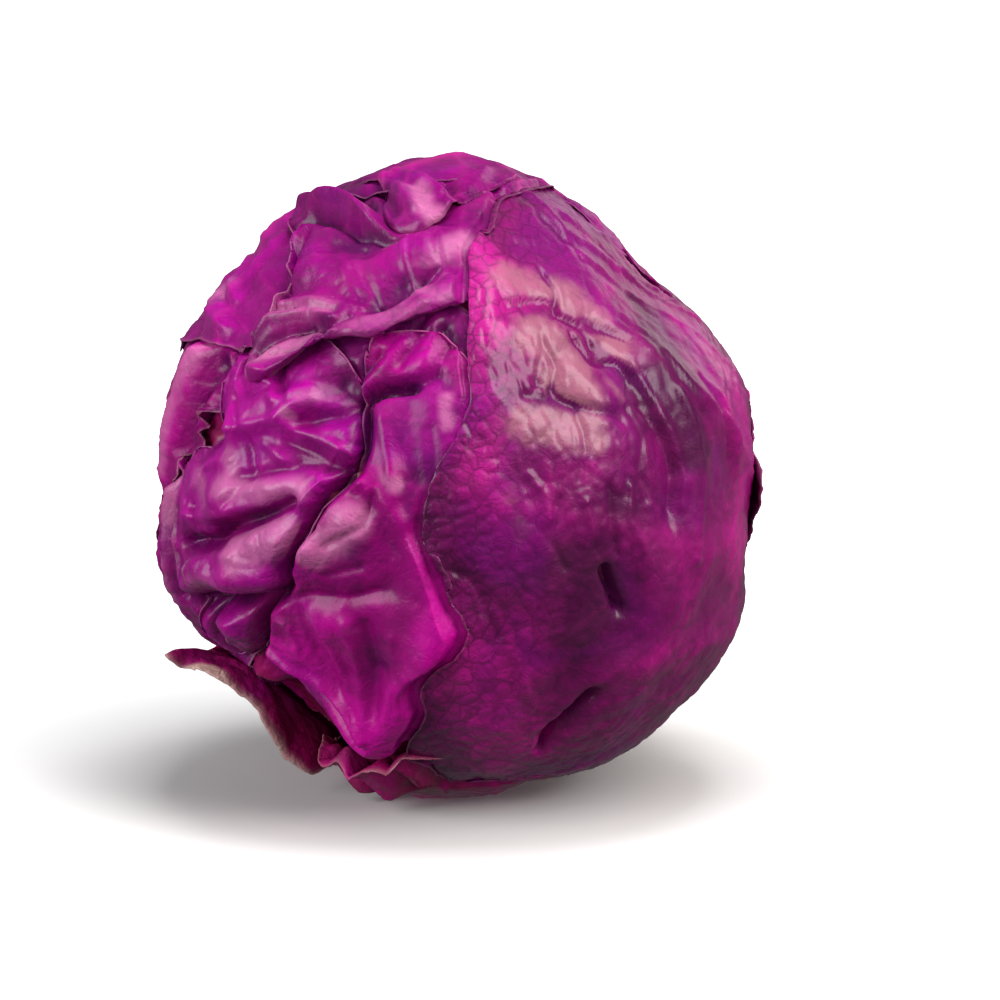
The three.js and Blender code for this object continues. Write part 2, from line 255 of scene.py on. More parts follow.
@dataclass
class LeafForm:
    """One leaf: where it lies, how far it reaches and what folds it carries.

    An outline pairs a bearing with a reach in degrees, and lifts pair one with a height in mm.
    Blush-and-shading patches make the leaf lighter or darker, partly its own blush and partly
    painted light and shade. Pale-and-sheen patches make it paler, mostly painted sheen and
    highlights and a few its own pale rib, and the rim paints a pale margin that is partly a
    painted highlight.
    """

    name: str
    centre: Point
    outline: tuple[Point, ...]
    relief: tuple[Fold, ...] = ()
    blush_and_shading: tuple[Fold, ...] = ()
    pale_and_sheen_patches: tuple[Fold, ...] = ()
    lifts: tuple[Point, ...] = ((0.0, 0.0),)
    fade: float = 5.0
    curls: tuple[Curl, ...] = ()
    surface: Surface = Surface()
    segments: int = 140
    bias: Point = (0.0, 0.0)
    sunk: float = 0.0
    seed: int = 1
    thickness: float = 0.4
    rim: float = 0.2

    def __post_init__(self) -> None:
        """Works out the leaf's own directions and the reach at every bearing."""
        lon = math.radians(self.centre[0])
        self.middle = direction(self.centre)
        self.east = np.array([math.cos(lon), math.sin(lon), 0.0])
        self.north = np.cross(self.middle, self.east)
        rows = sorted(self.outline)
        degrees = np.arange(0.0, 360.0, 1.0)
        reach = np.interp(degrees, [r[0] for r in rows], [r[1] for r in rows], period=360.0)
        window = np.array([1.0, 2.0, 1.0]) / 4.0
        padded = np.concatenate([reach[-1:], reach, reach[:1]])
        self.reach = np.convolve(padded, window, mode="valid")
        stalk = direction(STALK_AT)
        self.stalk_bearing = math.atan2(stalk @ self.east, stalk @ self.north)

    def bearings(self, dirs: Array) -> Array:
        """Returns the bearings of directions from the leaf's middle, in degrees."""
        return np.degrees(np.arctan2(dirs @ self.east, dirs @ self.north)) % 360.0

    def inside(self, dirs: Array) -> Array:
        """Measures how far inside the margin directions lie.

        Args:
            dirs: Unit vectors.

        Returns:
            Distances in mm, negative off the leaf.
        """
        arc = np.degrees(np.arccos(np.clip(dirs @ self.middle, -1.0, 1.0)))
        reach = closed_curve(self.reach, self.bearings(dirs))
        return np.radians(reach - arc) * FRONT_RADIUS

    def lift(self, bearing: Array) -> Array:
        """Returns how far the margin stands off the head at bearings, in mm."""
        rows = sorted(self.lifts)
        return np.interp(bearing, [r[0] for r in rows], [r[1] for r in rows], period=360.0)

    def crumpled(self, dirs: Array) -> Array:
        """Returns the height of the leaf's rumples along unit vectors, in mm."""
        s, skin = self.surface, dirs * FRONT_RADIUS
        rolled = lumps(skin, s.crumple_size, self.seed, 2)
        creased = np.abs(lumps(skin, s.crumple_size * 0.8, self.seed + 20))
        flats = facets(dirs, s.facet_size, self.seed)
        flats = flats - facets(dirs, s.facet_size * 1.3, self.seed + 9)
        return s.crumple * (0.8 * rolled + (creased - 0.3)) + s.facet * flats

    def wanted(self, dirs: Array) -> Array:
        """Works out the outer radius the leaf would have with nothing over it.

        Args:
            dirs: Unit vectors.

        Returns:
            Radii in mm.
        """
        radius = raised(head_radius(dirs) - self.sunk, self.relief, dirs)
        fading = np.exp(-np.maximum(0.0, self.inside(dirs)) / self.fade)
        return radius + self.crumpled(dirs) + fading * self.lift(self.bearings(dirs))


STALK_AXIS = direction(STALK_AT)
TOWARDS = np.array([0.0, -math.cos(math.radians(VIEW_TILT)), math.sin(math.radians(VIEW_TILT))])
UPWARDS = np.array([0.0, math.sin(math.radians(VIEW_TILT)), math.cos(math.radians(VIEW_TILT))])


def head_radius(dirs: Array) -> Array:
    """Works out the smooth head's radius, before any leaf's own folds.

    Args:
        dirs: Unit vectors.

    Returns:
        Radii in mm.
    """
    across = dirs[:, 0]
    up = dirs @ UPWARDS
    depth = dirs @ TOWARDS
    turn = np.degrees(np.arctan2(up, across)) % 360.0
    flat = across**2 + up**2
    outline = closed_curve(np.array(OUTLINE_RADII), turn / 360.0 * len(OUTLINE_RADII))
    facing = np.where(depth > 0.0, FRONT_RADIUS, REAR_RADIUS)
    from_stalk = distance_from(STALK_AXIS, dirs)
    dent = STALK_DENT * np.exp(-((from_stalk / STALK_DENT_WIDTH) ** 2))
    return outline * flat + facing * (1.0 - flat) - dent


MAIN_CREASE = (
    "-9,28 -16,27 -19,25 -18,21 -18,16 -19,12 -23,8 -25,6 -28,1 -31,-3 -34,-8 -34,-11 -38,-15 "
    "-42,-18 -45,-23 -50,-30"
)

LEFT_LEAF = LeafForm(
    name="left_leaf", centre=(-105, -20),
    outline=route("""
        0,40 20,46 35,52 50,49 62,46 70,43 78,45 85,44 95,42 105,41 120,38 150,36 180,36 210,40
        240,50 270,56 300,50 330,42"""),
    relief=folds("""
        2.5 6 -70,4 -72,-10 -76,-22; 1.8 2.5 -68,6 -69,-6 -71,-18; -4.5 1.9 -72,8 -75,-14;
        1.5 2.5 -78,6 -79,-14; -4 2.2 -66,-6 -69,-13 -70,-19"""),
    # These patches paint highlights on the margins.
    pale_and_sheen_patches=folds("0.5 2.4 -69,5 -70,-4; 0.4 2.5 -72,-12 -74,-20"),
    rim=0.45,
    lifts=route("40,0 62,1.5 128,1.5 150,0"),
    curls=(Curl(60, 130, 2.5, 90),),
    surface=Surface(crumple=0.9, crumple_size=11, ruffle=0.8, ruffle_size=7, ragged=1.0),
    segments=100, bias=(0.25, 0.0), seed=2,
)

RIB_LEAF = LeafForm(
    name="rib_leaf", centre=(-140, 5),
    outline=route("""
        0,62 15,66 30,72 45,76 52,80 57,84 60,85 62,87 64,89 66,91 68,86 69,84 71,86 72,81 73,78
        75,80 77,77 80,78 82,74 84,69 87,72 90,67 95,62 105,56 120,50 135,48 150,50 165,52 180,54
        195,58 210,64 225,74 240,84 255,92 270,84 285,72 300,64 315,60 330,58 345,60"""),
    relief=folds("""
        3.5 5 -66,31 -72,21 -76,12 -79,4; -4 3 -60,27 -64,18 -69,9; 1.2 1.6 -54,30 -53,24;
        -1.6 1.5 -57,27 -57,20; 1.4 1.6 -60,26 -60,18; -1.6 1.5 -63,20 -65,11"""),
    blush_and_shading=folds("0.5 4 -66,31 -72,21 -76,12 -79,4"),
    pale_and_sheen_patches=folds("0.45 3.2 -65,30 -71,21 -75,12 -78,4"),
    rim=0.5,
    lifts=route("52,0 58,1.5 84,1.5 92,0"),
    fade=4, curls=(Curl(56, 92, 1.8, 80),),
    surface=Surface(puff=0.1, ruffle_size=6, ragged=0.5, ragged_size=4),
    segments=130, bias=(0.45, 0.05), seed=3,
)

CROWN_LEAF = LeafForm(
    name="crown_leaf", centre=(-46, -4),
    outline=route("""
        4,44 20,44 36,42 40,41 51,35 61,29 68,23 83,19 114,17 157,18 185,24 200,34 213,40 219,35
        226,27 248,23 284,22 311,24 322,22 337,24 348,36"""),
    relief=folds(f"""
        3 5 -50,3 -46,5 -38,7 -30,7 -25,8; -3 3 -62,-7 -54,-6 -48,-2 -40,1 -36,3 -32,5;
        3 6 -46,-8 -39,-4 -34,-2; -5 3 -66,-21 -59,-19 -48,-17 -42,-16 -37,-15; 4.5 5.5 -53,-24;
        -4.5 5 -57,15; 3 4 -65,-16 -57,-12 -47,-11 -38,-10; -4 4.5 -24,27 -18,25 -16,17;
        2.5 5 -48,18 -42,20 -34,22; -5 1.8 {MAIN_CREASE};
        -3 1.5 -64,-8 -54,-6 -48,-2 -40,1 -36,3 -32,5;
        -3.5 1.5 -64,-20 -59,-19 -48,-17 -42,-16 -38,-15; -4 1.8 -60,-21 -65,-28 -66,-36;
        -4 1.8 -43,-18 -47,-25 -52,-30 -60,-35; -3 2 -19,25 -23,22 -28,21 -32,20;
        -1.8 1.6 -45,8 -37,10 -31,12 -22,12; 1.5 1.5 -49,16 -42,18 -36,20 -30,24;
        1.3 1.3 -36,19 -27,17 -20,15; -1.2 1.2 -35,16 -27,14 -21,12; 1.2 1.3 -40,15 -33,12 -26,11;
        1.4 1.6 -62,-2 -49,0 -38,4; -1 1.2 -47,3 -42,8; 1 1.4 -60,4 -55,9 -48,11;
        -1.4 1.3 -50,22 -44,14 -42,10; 1.2 1.5 -62,-12 -52,-7 -44,-6; -1 1.1 -52,-10 -46,-13;
        1.3 1.4 -44,28 -38,23 -30,26; -1.6 1.4 -40,29 -36,24; 1 1.3 -57,-22 -50,-21;
        -0.9 1.1 -60,0 -57,-5; -0.9 1.1 -38,-2 -36,-7; 1 1.3 -33,3 -29,5 -25,9"""),
    # These patches paint the milky highlights on the crumpled leaf.
    pale_and_sheen_patches=folds("""
        0.5 3.8 -49,6 -39,6 -30,8; 0.65 5.5 -43,-5 -38,-3 -33,-1; 0.5 2 -34,21; 0.4 3 -49,12 -47,9;
        0.3 2.5 -32,24 -25,26; 0.35 4 -59,7 -56,2; 0.25 4 -60,-14 -50,-12"""),
    curls=(Curl(235, 300, 2.0, 60),),
    surface=Surface(puff=0.08, crumple=0.8, crumple_size=12, ruffle=0.5, vein=0.2, midrib=0.4),
    segments=160, seed=4,
)

FAN_LEAF = LeafForm(
    name="fan_leaf", centre=(-9, -6),
    outline=route("""
        7,46 23,39 40,31 60,24 84,22 107,22 139,27 165,35 177,39 189,43 196,48 202,51 207,51 213,49
        220,46 228,45 233,43 237,40 240,39 247,34 250,30 257,25 264,25 277,22 290,20 307,20 315,20
        330,21 337,24 340,29 342,33 348,47"""),
    relief=folds(f"""
        3 5 0,-14 -4,-21 -9,-27 -15,-37 -23,-46; 2.2 3 -17,10 -13,7 -9,1 -5,-6 -1,-15; 3 5 -29,-3;
        3 6 -20,3; 2 4 -12,12; -1 3.5 -10,24 -9,18 -8,12; 3.5 7 -29,-45; 2 6 -40,-29;
        -1.2 3 -36,-15 -29,-13 -21,-13 -13,-10; 2 5 -26,-19; -1.2 3 -3,29 -9,28 -16,27;
        -1 5 -14,-24 -19,-36; -5 1.6 {MAIN_CREASE}; -1.6 1.2 -4,30 -9,28 -16,27 -20,25;
        2.4 1.4 -24,-43 -28,-39 -34,-35 -42,-31 -47,-28; -3 1.5 -26,-45 -34,-40 -45,-34;
        1.4 1.8 -22,-18 -22,-25 -22,-32 -23,-40; -1.2 1.8 -18,-18 -17,-27 -19,-38;
        0.9 1.4 -30,-16 -28,-24 -26,-34; -0.8 1.4 -33,-17 -32,-26 -29,-36;
        0.7 1.4 -38,-20 -37,-27 -33,-35; 0.8 1.2 -13,-20 -13,-28 -17,-38;
        -0.7 1.3 -36,-15 -29,-13 -22,-13 -15,-11; 1.2 1.4 -26,2 -22,8 -18,10;
        -1 1.2 -24,-2 -17,2 -15,8; 0.8 1.5 -15,22 -13,15 -11,8; -0.6 1.5 -5,20 -4,12 -3,6;
        -0.7 1.2 -25,-8 -18,-6; 1.4 1.6 -33,31 -29,25 -30,21; -1.6 1.3 -28,33 -26,26;
        1.2 1.4 -21,34 -24,28; -2 1.2 -17,34 -21,29; 1 1.5 -12,36 -16,31; -1.2 1.2 -8,38 -12,32;
        1.4 2.2 -4,40 -7,32; -1 1.2 -1,36 -4,31"""),
    blush_and_shading=folds("""
        0.08 6 0,-14 -4,-22; 0.3 8 -12,-36 -22,-46 -30,-48; 0.15 9 -38,-27; -0.2 6 -10,-12
        -14,-22"""),
    pale_and_sheen_patches=folds("""
        0.65 5 -27,-3 -22,0 -19,3; 0.5 2.5 -11,10; 0.35 2.5 -2,26 -2,21;
        0.4 1.6 -21,12 -18,15 -16,16; 0.25 3 -38,-20 -30,-17; 0.15 2 -27,-16 -17,-21 -16,-26"""),
    curls=(Curl(186, 346, 2.8, 100, False),),
    surface=Surface(puff=0.05, crumple=0.35, crumple_size=12, vein=0.0, midrib=0.0, ruffle=0.2,
        ragged=0.3),
    segments=168, seed=5,
)

SHOULDER_LEAF = LeafForm(
    name="shoulder_leaf", centre=(-165, 50),
    outline=route("""
        0,58 15,66 30,76 45,84 54,80 57,77 63,73 68,69 76,65 84,60 90,59 105,56 120,58 135,62 150,66
        180,66 195,70 210,78 225,84 240,88 255,84 270,70 285,55 300,48 315,46 330,48 345,54"""),
    relief=folds("""
        2 5 -96,41 -82,37 -66,35; -1.5 4 -93,36 -78,31; 1.5 6 -96,52 -80,48 -68,46;
        2 7 -140,20 -170,10 165,0; 1.4 1.5 -97,46 -84,42 -68,40; -1.4 1.3 -96,42 -82,39 -66,37;
        1.2 1.5 -95,37 -80,35 -62,34; -1.2 1.3 -92,32 -78,32; 1 1.3 -100,50 -86,52 -72,52;
        -1 1.2 -78,55 -70,45 -66,38; 1.2 1.4 -86,58 -78,48 -74,38"""),
    pale_and_sheen_patches=folds("0.4 6 -96,34 -88,37 -79,40; 0.3 4 -98,44 -101,50"),
    lifts=route("52,0 62,1.2 80,1.2 90,0"),
    curls=(Curl(54, 90, 2.0, 60),),
    surface=Surface(puff=0.1, crumple=0.6, ruffle=0.5, ragged=0.5),
    segments=118, bias=(0.3, 0.25), seed=6,
)

BROW_LEAF = LeafForm(
    name="brow_leaf", centre=(-30, 52),
    outline=route("""
        0,30 15,34 30,34 45,30 60,27 75,26 90,25 105,22 120,20 138,19 150,19 167,18 185,19 189,22
        200,27 206,30 214,31 220,30 228,23 245,18 259,18 280,20 296,26 302,36 309,38 324,30
        345,27"""),
    relief=folds("""
        3.5 4 0,48 -6,44 -14,39 -22,37 -30,36 -36,31 -44,27; -2.5 4 -10,50 -20,44 -30,44;
        3 5 -47,38 -38,42 -29,41; -3 4 -16,63 -30,57 -45,56;
        1.2 5 -90,60 -84,65 -59,66 -43,64 -30,62 -18,61;
        3.2 2.2 -92,61 -78,64 -59,66 -43,64 -30,62 -18,60; -2 4 -74,72 -45,70 -28,67; 2 6 -10,57;
        2 7 -48,50; -3 1.5 -78,57 -74,61 -60,62 -39,60 -20,59;
        1.6 1.4 -80,62 -66,66 -50,65 -38,62 -26,61;
        1.6 1.4 -69,58 -64,54 -59,49 -61,43 -59,39 -52,34;
        -1.4 1.3 -66,58 -60,53 -56,48 -57,42 -54,38; 1.3 1.5 -55,39 -45,43 -35,43 -24,43;
        -1.2 1.2 -50,40 -40,41 -31,41; 1.8 1.5 -50,34 -47,38 -38,41 -29,39;
        -1.8 1.3 -48,31 -42,36 -36,38 -30,37; 1.8 1.6 -28,36 -34,31 -40,27 -46,28;
        -1.5 1.2 -26,40 -31,35 -37,32 -43,31; 0.7 1 -18,57 -16,53 -11,47 -8,43;
        -0.5 1.2 -34,57 -27,50 -20,44; 0.5 1.6 -46,58 -36,52 -30,46; -0.6 1.2 -8,60 -5,54 0,50;
        0.8 1.6 -26,67 -18,64 -8,62; 1.4 1.4 -60,72 -46,70 -36,66; -1.4 1.3 -70,70 -50,68 -38,66;
        1.2 1.4 -22,40 -14,43 -8,48; -1.2 1.2 -20,43 -14,46 -6,52"""),
    lifts=route("225,0 240,1.2 290,1.2 310,0"),
    fade=4,
    pale_and_sheen_patches=folds("""
        0.35 4 -56,36 -47,40 -33,42; 0.4 4 -48,28 -42,32 -35,36; 0.26 5 -25,37 -17,40 -10,42;
        0.35 5 -9,51 -2,56 2,58; 0.3 4 -14,47 -4,45"""),
    curls=(Curl(225, 312, 2.0, 70), Curl(88, 228, 4.0, 120, False)),
    surface=Surface(puff=0.08, puff_size=4, crumple_size=12, ruffle=0.4, vein=0.15, midrib=0.3,
        ragged=0.4),
    segments=168, seed=7,
)

TORN_LEAF = LeafForm(
    name="torn_leaf", centre=(-140, -55),
    outline=route("""
        0,42 15,42 30,42 45,41 60,39 72,38 80,38 82,41 84,49 85,50 87,47 90,46 95,45 100,43 108,41
        116,40 124,39 130,38 134,33 140,34 150,38 165,42 180,44 195,48 210,54 225,62 240,72 255,80
        270,80 285,72 300,62 315,54 330,48 345,44"""),
    relief=folds("""
        2 7 -120,-40 -165,-40 160,-30; 1.6 1.6 -80,-33 -74,-40 -68,-48 -60,-56;
        -1.2 1.6 -84,-38 -78,-46 -70,-54; 1 1.4 -96,-36 -84,-46 -76,-56"""),
    pale_and_sheen_patches=folds("0.8 1.3 -79,-34 -78,-37 -76,-41 -75,-44"),
    lifts=route("78,0 81,3 83,10 86,10.5 89,8 95,7 108,8.5 120,11 131,10 136,5 142,1 150,0"),
    fade=7, rim=0.55, curls=(Curl(90, 134, 1.8, 80),),
    surface=Surface(puff=0.1, ruffle=0.4, ruffle_size=8, ragged=0.4, ragged_size=3.5, vein=0.2,
        midrib=0.4),
    segments=130, bias=(0.25, -0.1), seed=8,
)

UNDERSIDE_LEAF = LeafForm(
    name="underside_leaf", centre=(20, -82),
    outline=route("""
        0,26 15,28 30,32 45,38 60,46 75,56 90,66 105,78 120,80 135,70 150,56 165,46 180,38 195,33
        210,31 225,30 240,30 255,30 264,30.5 272,32 280,31.5 288,32.5 296,32 304,33.5 312,34 320,36
        327,33 336,30 345,27"""),
    relief=folds("""
        1.5 24 0,-90; 2.5 4 -50,-58 -44,-66; 2.5 4 -30,-55 -26,-64; 2 4 -14,-50 -10,-60;
        -3 2 -40,-56 -36,-66; 1.5 1.6 -54,-58 -48,-66; -2.5 1.8 -22,-53 -18,-64;
        1.4 1.6 -34,-55 -30,-64; -2 1.6 -56,-61 -52,-70; -1.6 1.5 -6,-52 -4,-62"""),
    blush_and_shading=folds("0.5 10 -56,-60 -30,-56 -8,-52"),
    lifts=route("255,0 268,2.5 328,2.5 345,0"),
    fade=6, curls=(Curl(258, 340, 3.5, 130),),
    surface=Surface(puff=0.1, crumple=0.8, ruffle=1.0, ruffle_size=8, ragged=0.7),
    segments=130, bias=(-0.2, 0.2), seed=9,
)

RIGHT_LEAF = LeafForm(
    name="right_leaf", centre=(50, -5),
    outline=route("""
        0,81 13,84 30,76 45,75 60,76 75,80 90,84 105,86 120,82 135,76 150,70 165,66 180,61 188,59
        198,66 202,71 209,70 213,69 219,71 224,68 227,65 231,62 238,61 242,58 244,54 248,51 251,50
        257,52 264,54 270,56 274,58 285,58 297,56 306,56 313,60 321,64 331,70 335,73 343,75
        351,80"""),
    relief=folds("""
        1.8 6 8,60 9,50 8,40 7,28; -2 4 34,33 40,27 42,18 45,8 43,0; -1.2 4 13,43 25,44 33,40 44,35;
        1.4 5 26,30 30,22; 1.2 5 52,20 52,8; -2.5 3 30,-33 27,-38 24,-44; -1.5 2.5 29,-8 32,-15;
        -1.1 5 0,-6 5,-12 8,-19; 1.2 6 14,-28 10,-40; 1.2 7 40,-18;
        1.5 6 48,33 58,20 70,10 90,0 110,-10; 1.5 6 35,-26 60,-26 90,-24 112,-20;
        -1.2 1.2 13,44 20,45 24,45 27,42 32,40; -0.9 1.2 34,41 40,38 44,35;
        -1.2 1.2 28,38 31,32 38,31 40,28 38,25; -0.9 1.2 24,42 28,41 32,38 33,35;
        -0.9 1.2 14,26 20,25 27,23 34,20; -0.8 1.2 26,52 28,47 26,43; -0.8 1.2 20,36 22,31 20,27;
        0.9 1 41,30 44,22 47,12 47,2; 0.8 1.2 50,24 52,14 53,4 51,-6; 0.8 1 24,6 25,0 23,-6;
        0.8 1 34,8 33,2 36,-4; -0.8 1.2 29,8 29,2 30,-4; 0.7 1 13,12 16,8 17,3;
        -0.9 1.1 40,22 43,17 45,12 45,8 44,2; -0.5 1.15 16,29 23,24 29,22 36,22;
        -0.5 1.15 22,33 27,36 33,36; -0.5 1.15 46,40 50,33 51,26 55,18; -0.5 1.15 20,37 18,31 16,27;
        -0.5 1.15 36,22 38,16 36,10 37,5; -0.5 1.15 24,24 25,16 23,10;
        0.6 1.2 52,31 54,24 58,20 65,15 70,10 82,2; -4.2 1.15 28,-7 30,-11 32,-15;
        -5 1.3 30,-33 27,-37 25,-41; -4.2 1.15 24,-43 23,-49; -0.6 1.3 0,-6 4,-9 6,-14 8,-19;
        0.5 1.1 7,-14 12,-24 17,-35; 0.6 1.3 12,8 13,0 12,-6; -0.7 1 19,7 17,0 20,-6;
        0.7 1.6 48,8 50,0 50,-8; -0.9 1.1 60,25 62,17 66,8; 0.8 1.4 64,22 68,12 70,4;
        0.9 1.6 48,72 49,62 65,53 82,44; -0.8 1.3 40,66 46,55 62,44; 0.7 1.4 60,60 72,48 84,34;
        -0.8 1.2 56,66 70,52 84,40; 0.7 1.4 44,58 58,48 74,34 84,22"""),
    # The last patch paints the bright rim band along the right edge, a painted reflection, and the
    # -0.5 patch paints the dark band of shade beside it.
    blush_and_shading=folds("""
        0.35 10 8,52 8,40 6,26 4,14; 0.15 14 60,40 70,20; 0.38 12 -1,-28 5,-38 16,-46;
        -0.25 12 11,-4 20,-16 30,0; -0.5 6 61,44 54,34 50,22 51,12; 0.15 12 8,4 20,8;
        0.42 14 77,33 78,10 74,-10"""),
    # These patches paint the window's reflection on the wrapper leaf.
    pale_and_sheen_patches=folds("""
        0.46 7 15,50 20,50 27,47; 0.5 9 30,46 36,40 38,34; 0.5 9 19,38 23,32 25,26;
        0.45 7 13,21 20,20 27,18; 0.35 6 35,28 39,23; 0.2 10 -1,-30 5,-38 14,-45; 0.25 5 10,8
        12,0"""),
    lifts=route("195,0 225,0.5 315,0.5 345,0"),
    fade=4, rim=0.08, curls=(Curl(200, 262, 1.6, 50), Curl(270, 340, 2.5, 90, False)),
    surface=Surface(puff=0.16, puff_size=4.6, crumple=0.3, crumple_size=12, facet=0.6,
        facet_size=20, vein=0.1, vein_spacing=19, midrib=0.3, ruffle=0.2, ruffle_size=10,
        ragged=0.5),
    segments=220, bias=(-0.22, 0.0), seed=10,
)

TOP_LEAF = LeafForm(
    name="top_leaf", centre=(150, 70),
    outline=route("""
        0,47 5,43 11,36 21,33 30,33 45,34 60,36 75,40 90,44 105,48 120,50 135,54 150,62 165,74
        180,84 195,88 210,84 225,70 240,56 255,46 270,38 285,28 300,18 314,14 326,20 335,30 340,35
        343,40 345,45 350,49 356,49"""),
    relief=folds("""
        3.4 3.2 -70,77 -40,77 -29,76 -14,72 -4,67; 2 3.5 -36,73 -30,71 -21,68 -14,64;
        -1.2 2.5 -70,77 -36,76 -20,73 -10,69; 2 8 150,50 142,30 136,10; 1.4 1.4 -40,79 -20,76 -8,71;
        -0.9 1.2 -80,77 -38,76 -18,72; 1.6 1.5 -46,74 -30,70 -18,66; -1.5 1.3 -60,74 -40,70 -28,66;
        -1.4 1.3 -10,78 -4,73 0,70; 1.2 1.5 20,82 6,76 0,72; 1 1.4 60,84 20,78 8,74"""),
    lifts=route("320,0 334,1.2 345,0.6 355,0"),
    fade=4,
    pale_and_sheen_patches=folds("0.5 3 -26,74 -14,66 -7,63"),
    curls=(Curl(276, 430, 3.0, 110, False),),
    surface=Surface(puff=0.08, crumple=0.6, crumple_size=12, ruffle=0.5, ruffle_size=8,
        ragged=0.4),
    segments=128, bias=(0.0, 0.3), seed=11,
)

REAR_STUB_LEAF = LeafForm(
    name="rear_stub_leaf", centre=(125, 25),
    outline=route("0,34 30,28 60,26 90,28 120,34 150,44 180,46 210,40 240,32 270,28 300,32 330,37"),
    curls=(Curl(240, 400, 2.5, 100, False),),
    surface=Surface(ruffle=0.2, ragged=0.5),
    segments=60, seed=12, thickness=0.3,
)

RIGHT_STUB_LEAF = LeafForm(
    name="right_stub_leaf", centre=(115, 0),
    outline=route("0,18 30,16 60,18 90,24 120,32 150,30 180,24 210,22 240,28 270,31 300,26 330,20"),
    lifts=route("252,0 262,1.8 274,1.8 284,0"),
    fade=6, curls=(Curl(255, 282, 2.0, 50),),
    surface=Surface(ruffle=0.5, ragged=0.5),
    segments=60, seed=13,
)

CROWN_TIP = LeafForm(
    name="crown_tip", centre=(-14, 32),
    outline=route("0,16 45,18 90,22 135,18 180,14 225,20 270,30 315,20"),
    relief=folds("""
        -4 8 -9,35 -15,33; 2 3 -12,38 -11,30; 2 3 -6,40 -4,31; -3 7 -36,27;
        2 1.8 -20,36 -22,31 -19,27; -2.2 1.6 -16,37 -15,31; 2 1.8 -9,38 -8,32 -4,29;
        -2 1.5 -3,40 -2,33; 1.6 2 -36,28 -28,30; -2 1.6 -32,25 -24,30"""),
    surface=Surface(puff=0.1, puff_size=3.5, crumple=0.8, crumple_size=8, vein=0.0, midrib=0.0),
    segments=70, sunk=1.0, seed=14,
)

CAVITY_TIP = LeafForm(
    name="cavity_tip", centre=(-62, -40),
    outline=route("0,16 45,20 90,26 135,22 180,18 225,22 270,26 315,20"),
    relief=folds("""
        -3 8 -50,-48; 3.5 5 -66,-34 -60,-40; 1.5 3 -62,-34 -56,-40; -2 3 -48,-42 -44,-50"""),
    surface=Surface(crumple=0.6, vein=0.0, midrib=0.0),
    segments=60, sunk=2.5, seed=15,
)

STACK = (
    CAVITY_TIP, CROWN_TIP, LEFT_LEAF, RIB_LEAF, CROWN_LEAF, FAN_LEAF, SHOULDER_LEAF, BROW_LEAF,
    UNDERSIDE_LEAF, TORN_LEAF, RIGHT_LEAF, TOP_LEAF, REAR_STUB_LEAF, RIGHT_STUB_LEAF,
)

# A leaf stays this far under the next one, and past that one's margin the limit soon rises.
LEAF_GAP = 1.2
RISE = 1.2
PAST_MARGIN = 14.0


def ceiling_over(index: int, dirs: Array) -> Array:
    """Finds the lowest underside of what lies over a leaf.

    Args:
        index: The leaf's place in the stack, -1 for the inner head.
        dirs: Unit vectors.

    Returns:
        The largest outer radius that the leaf may have, in mm.
    """
    down = np.minimum(dirs[:, 2], -1e-3)
    level = np.where(dirs[:, 2] < 0.0, CENTRE_HEIGHT / -down, 1e3)
    for leaf in reversed(STACK[index + 1 :]):
        inside = leaf.inside(dirs)
        near = inside > -PAST_MARGIN
        outer = np.minimum(leaf.wanted(dirs[near]), level[near])
        under = outer - LEAF_GAP + RISE * np.maximum(0.0, -inside[near])
        level[near] = np.minimum(level[near], under)
    return level


class Signal:
    """A shader value whose operators add the Math nodes that they stand for."""

    def __init__(self, graph: "Graph", socket: bpy.types.NodeSocket) -> None:
        """Wraps a node's output socket."""
        self.graph = graph
        self.socket = socket

    def __add__(self, other: "Signal | float") -> "Signal":
        """Adds."""
        return self.graph.maths("ADD", self, other)

    __radd__ = __add__

    def __sub__(self, other: "Signal | float") -> "Signal":
        """Subtracts."""
        return self.graph.maths("SUBTRACT", self, other)

    def __rsub__(self, other: float) -> "Signal":
        """Subtracts from a number."""
        return self.graph.maths("SUBTRACT", other, self)

    def __mul__(self, other: "Signal | float") -> "Signal":
        """Multiplies."""
        return self.graph.maths("MULTIPLY", self, other)

    __rmul__ = __mul__

    def __abs__(self) -> "Signal":
        """Drops the sign."""
        return self.graph.maths("ABSOLUTE", self, 0.0)

    def rise(self, low: float, high: float) -> "Signal":
        """Returns a smooth rise from 0 at low to 1 at high."""
        node = self.graph.node(
            "ShaderNodeMapRange",
            {"interpolation_type": "SMOOTHSTEP"},
            {"Value": self, "From Min": low, "From Max": high},
        )
        return Signal(self.graph, node.outputs["Result"])


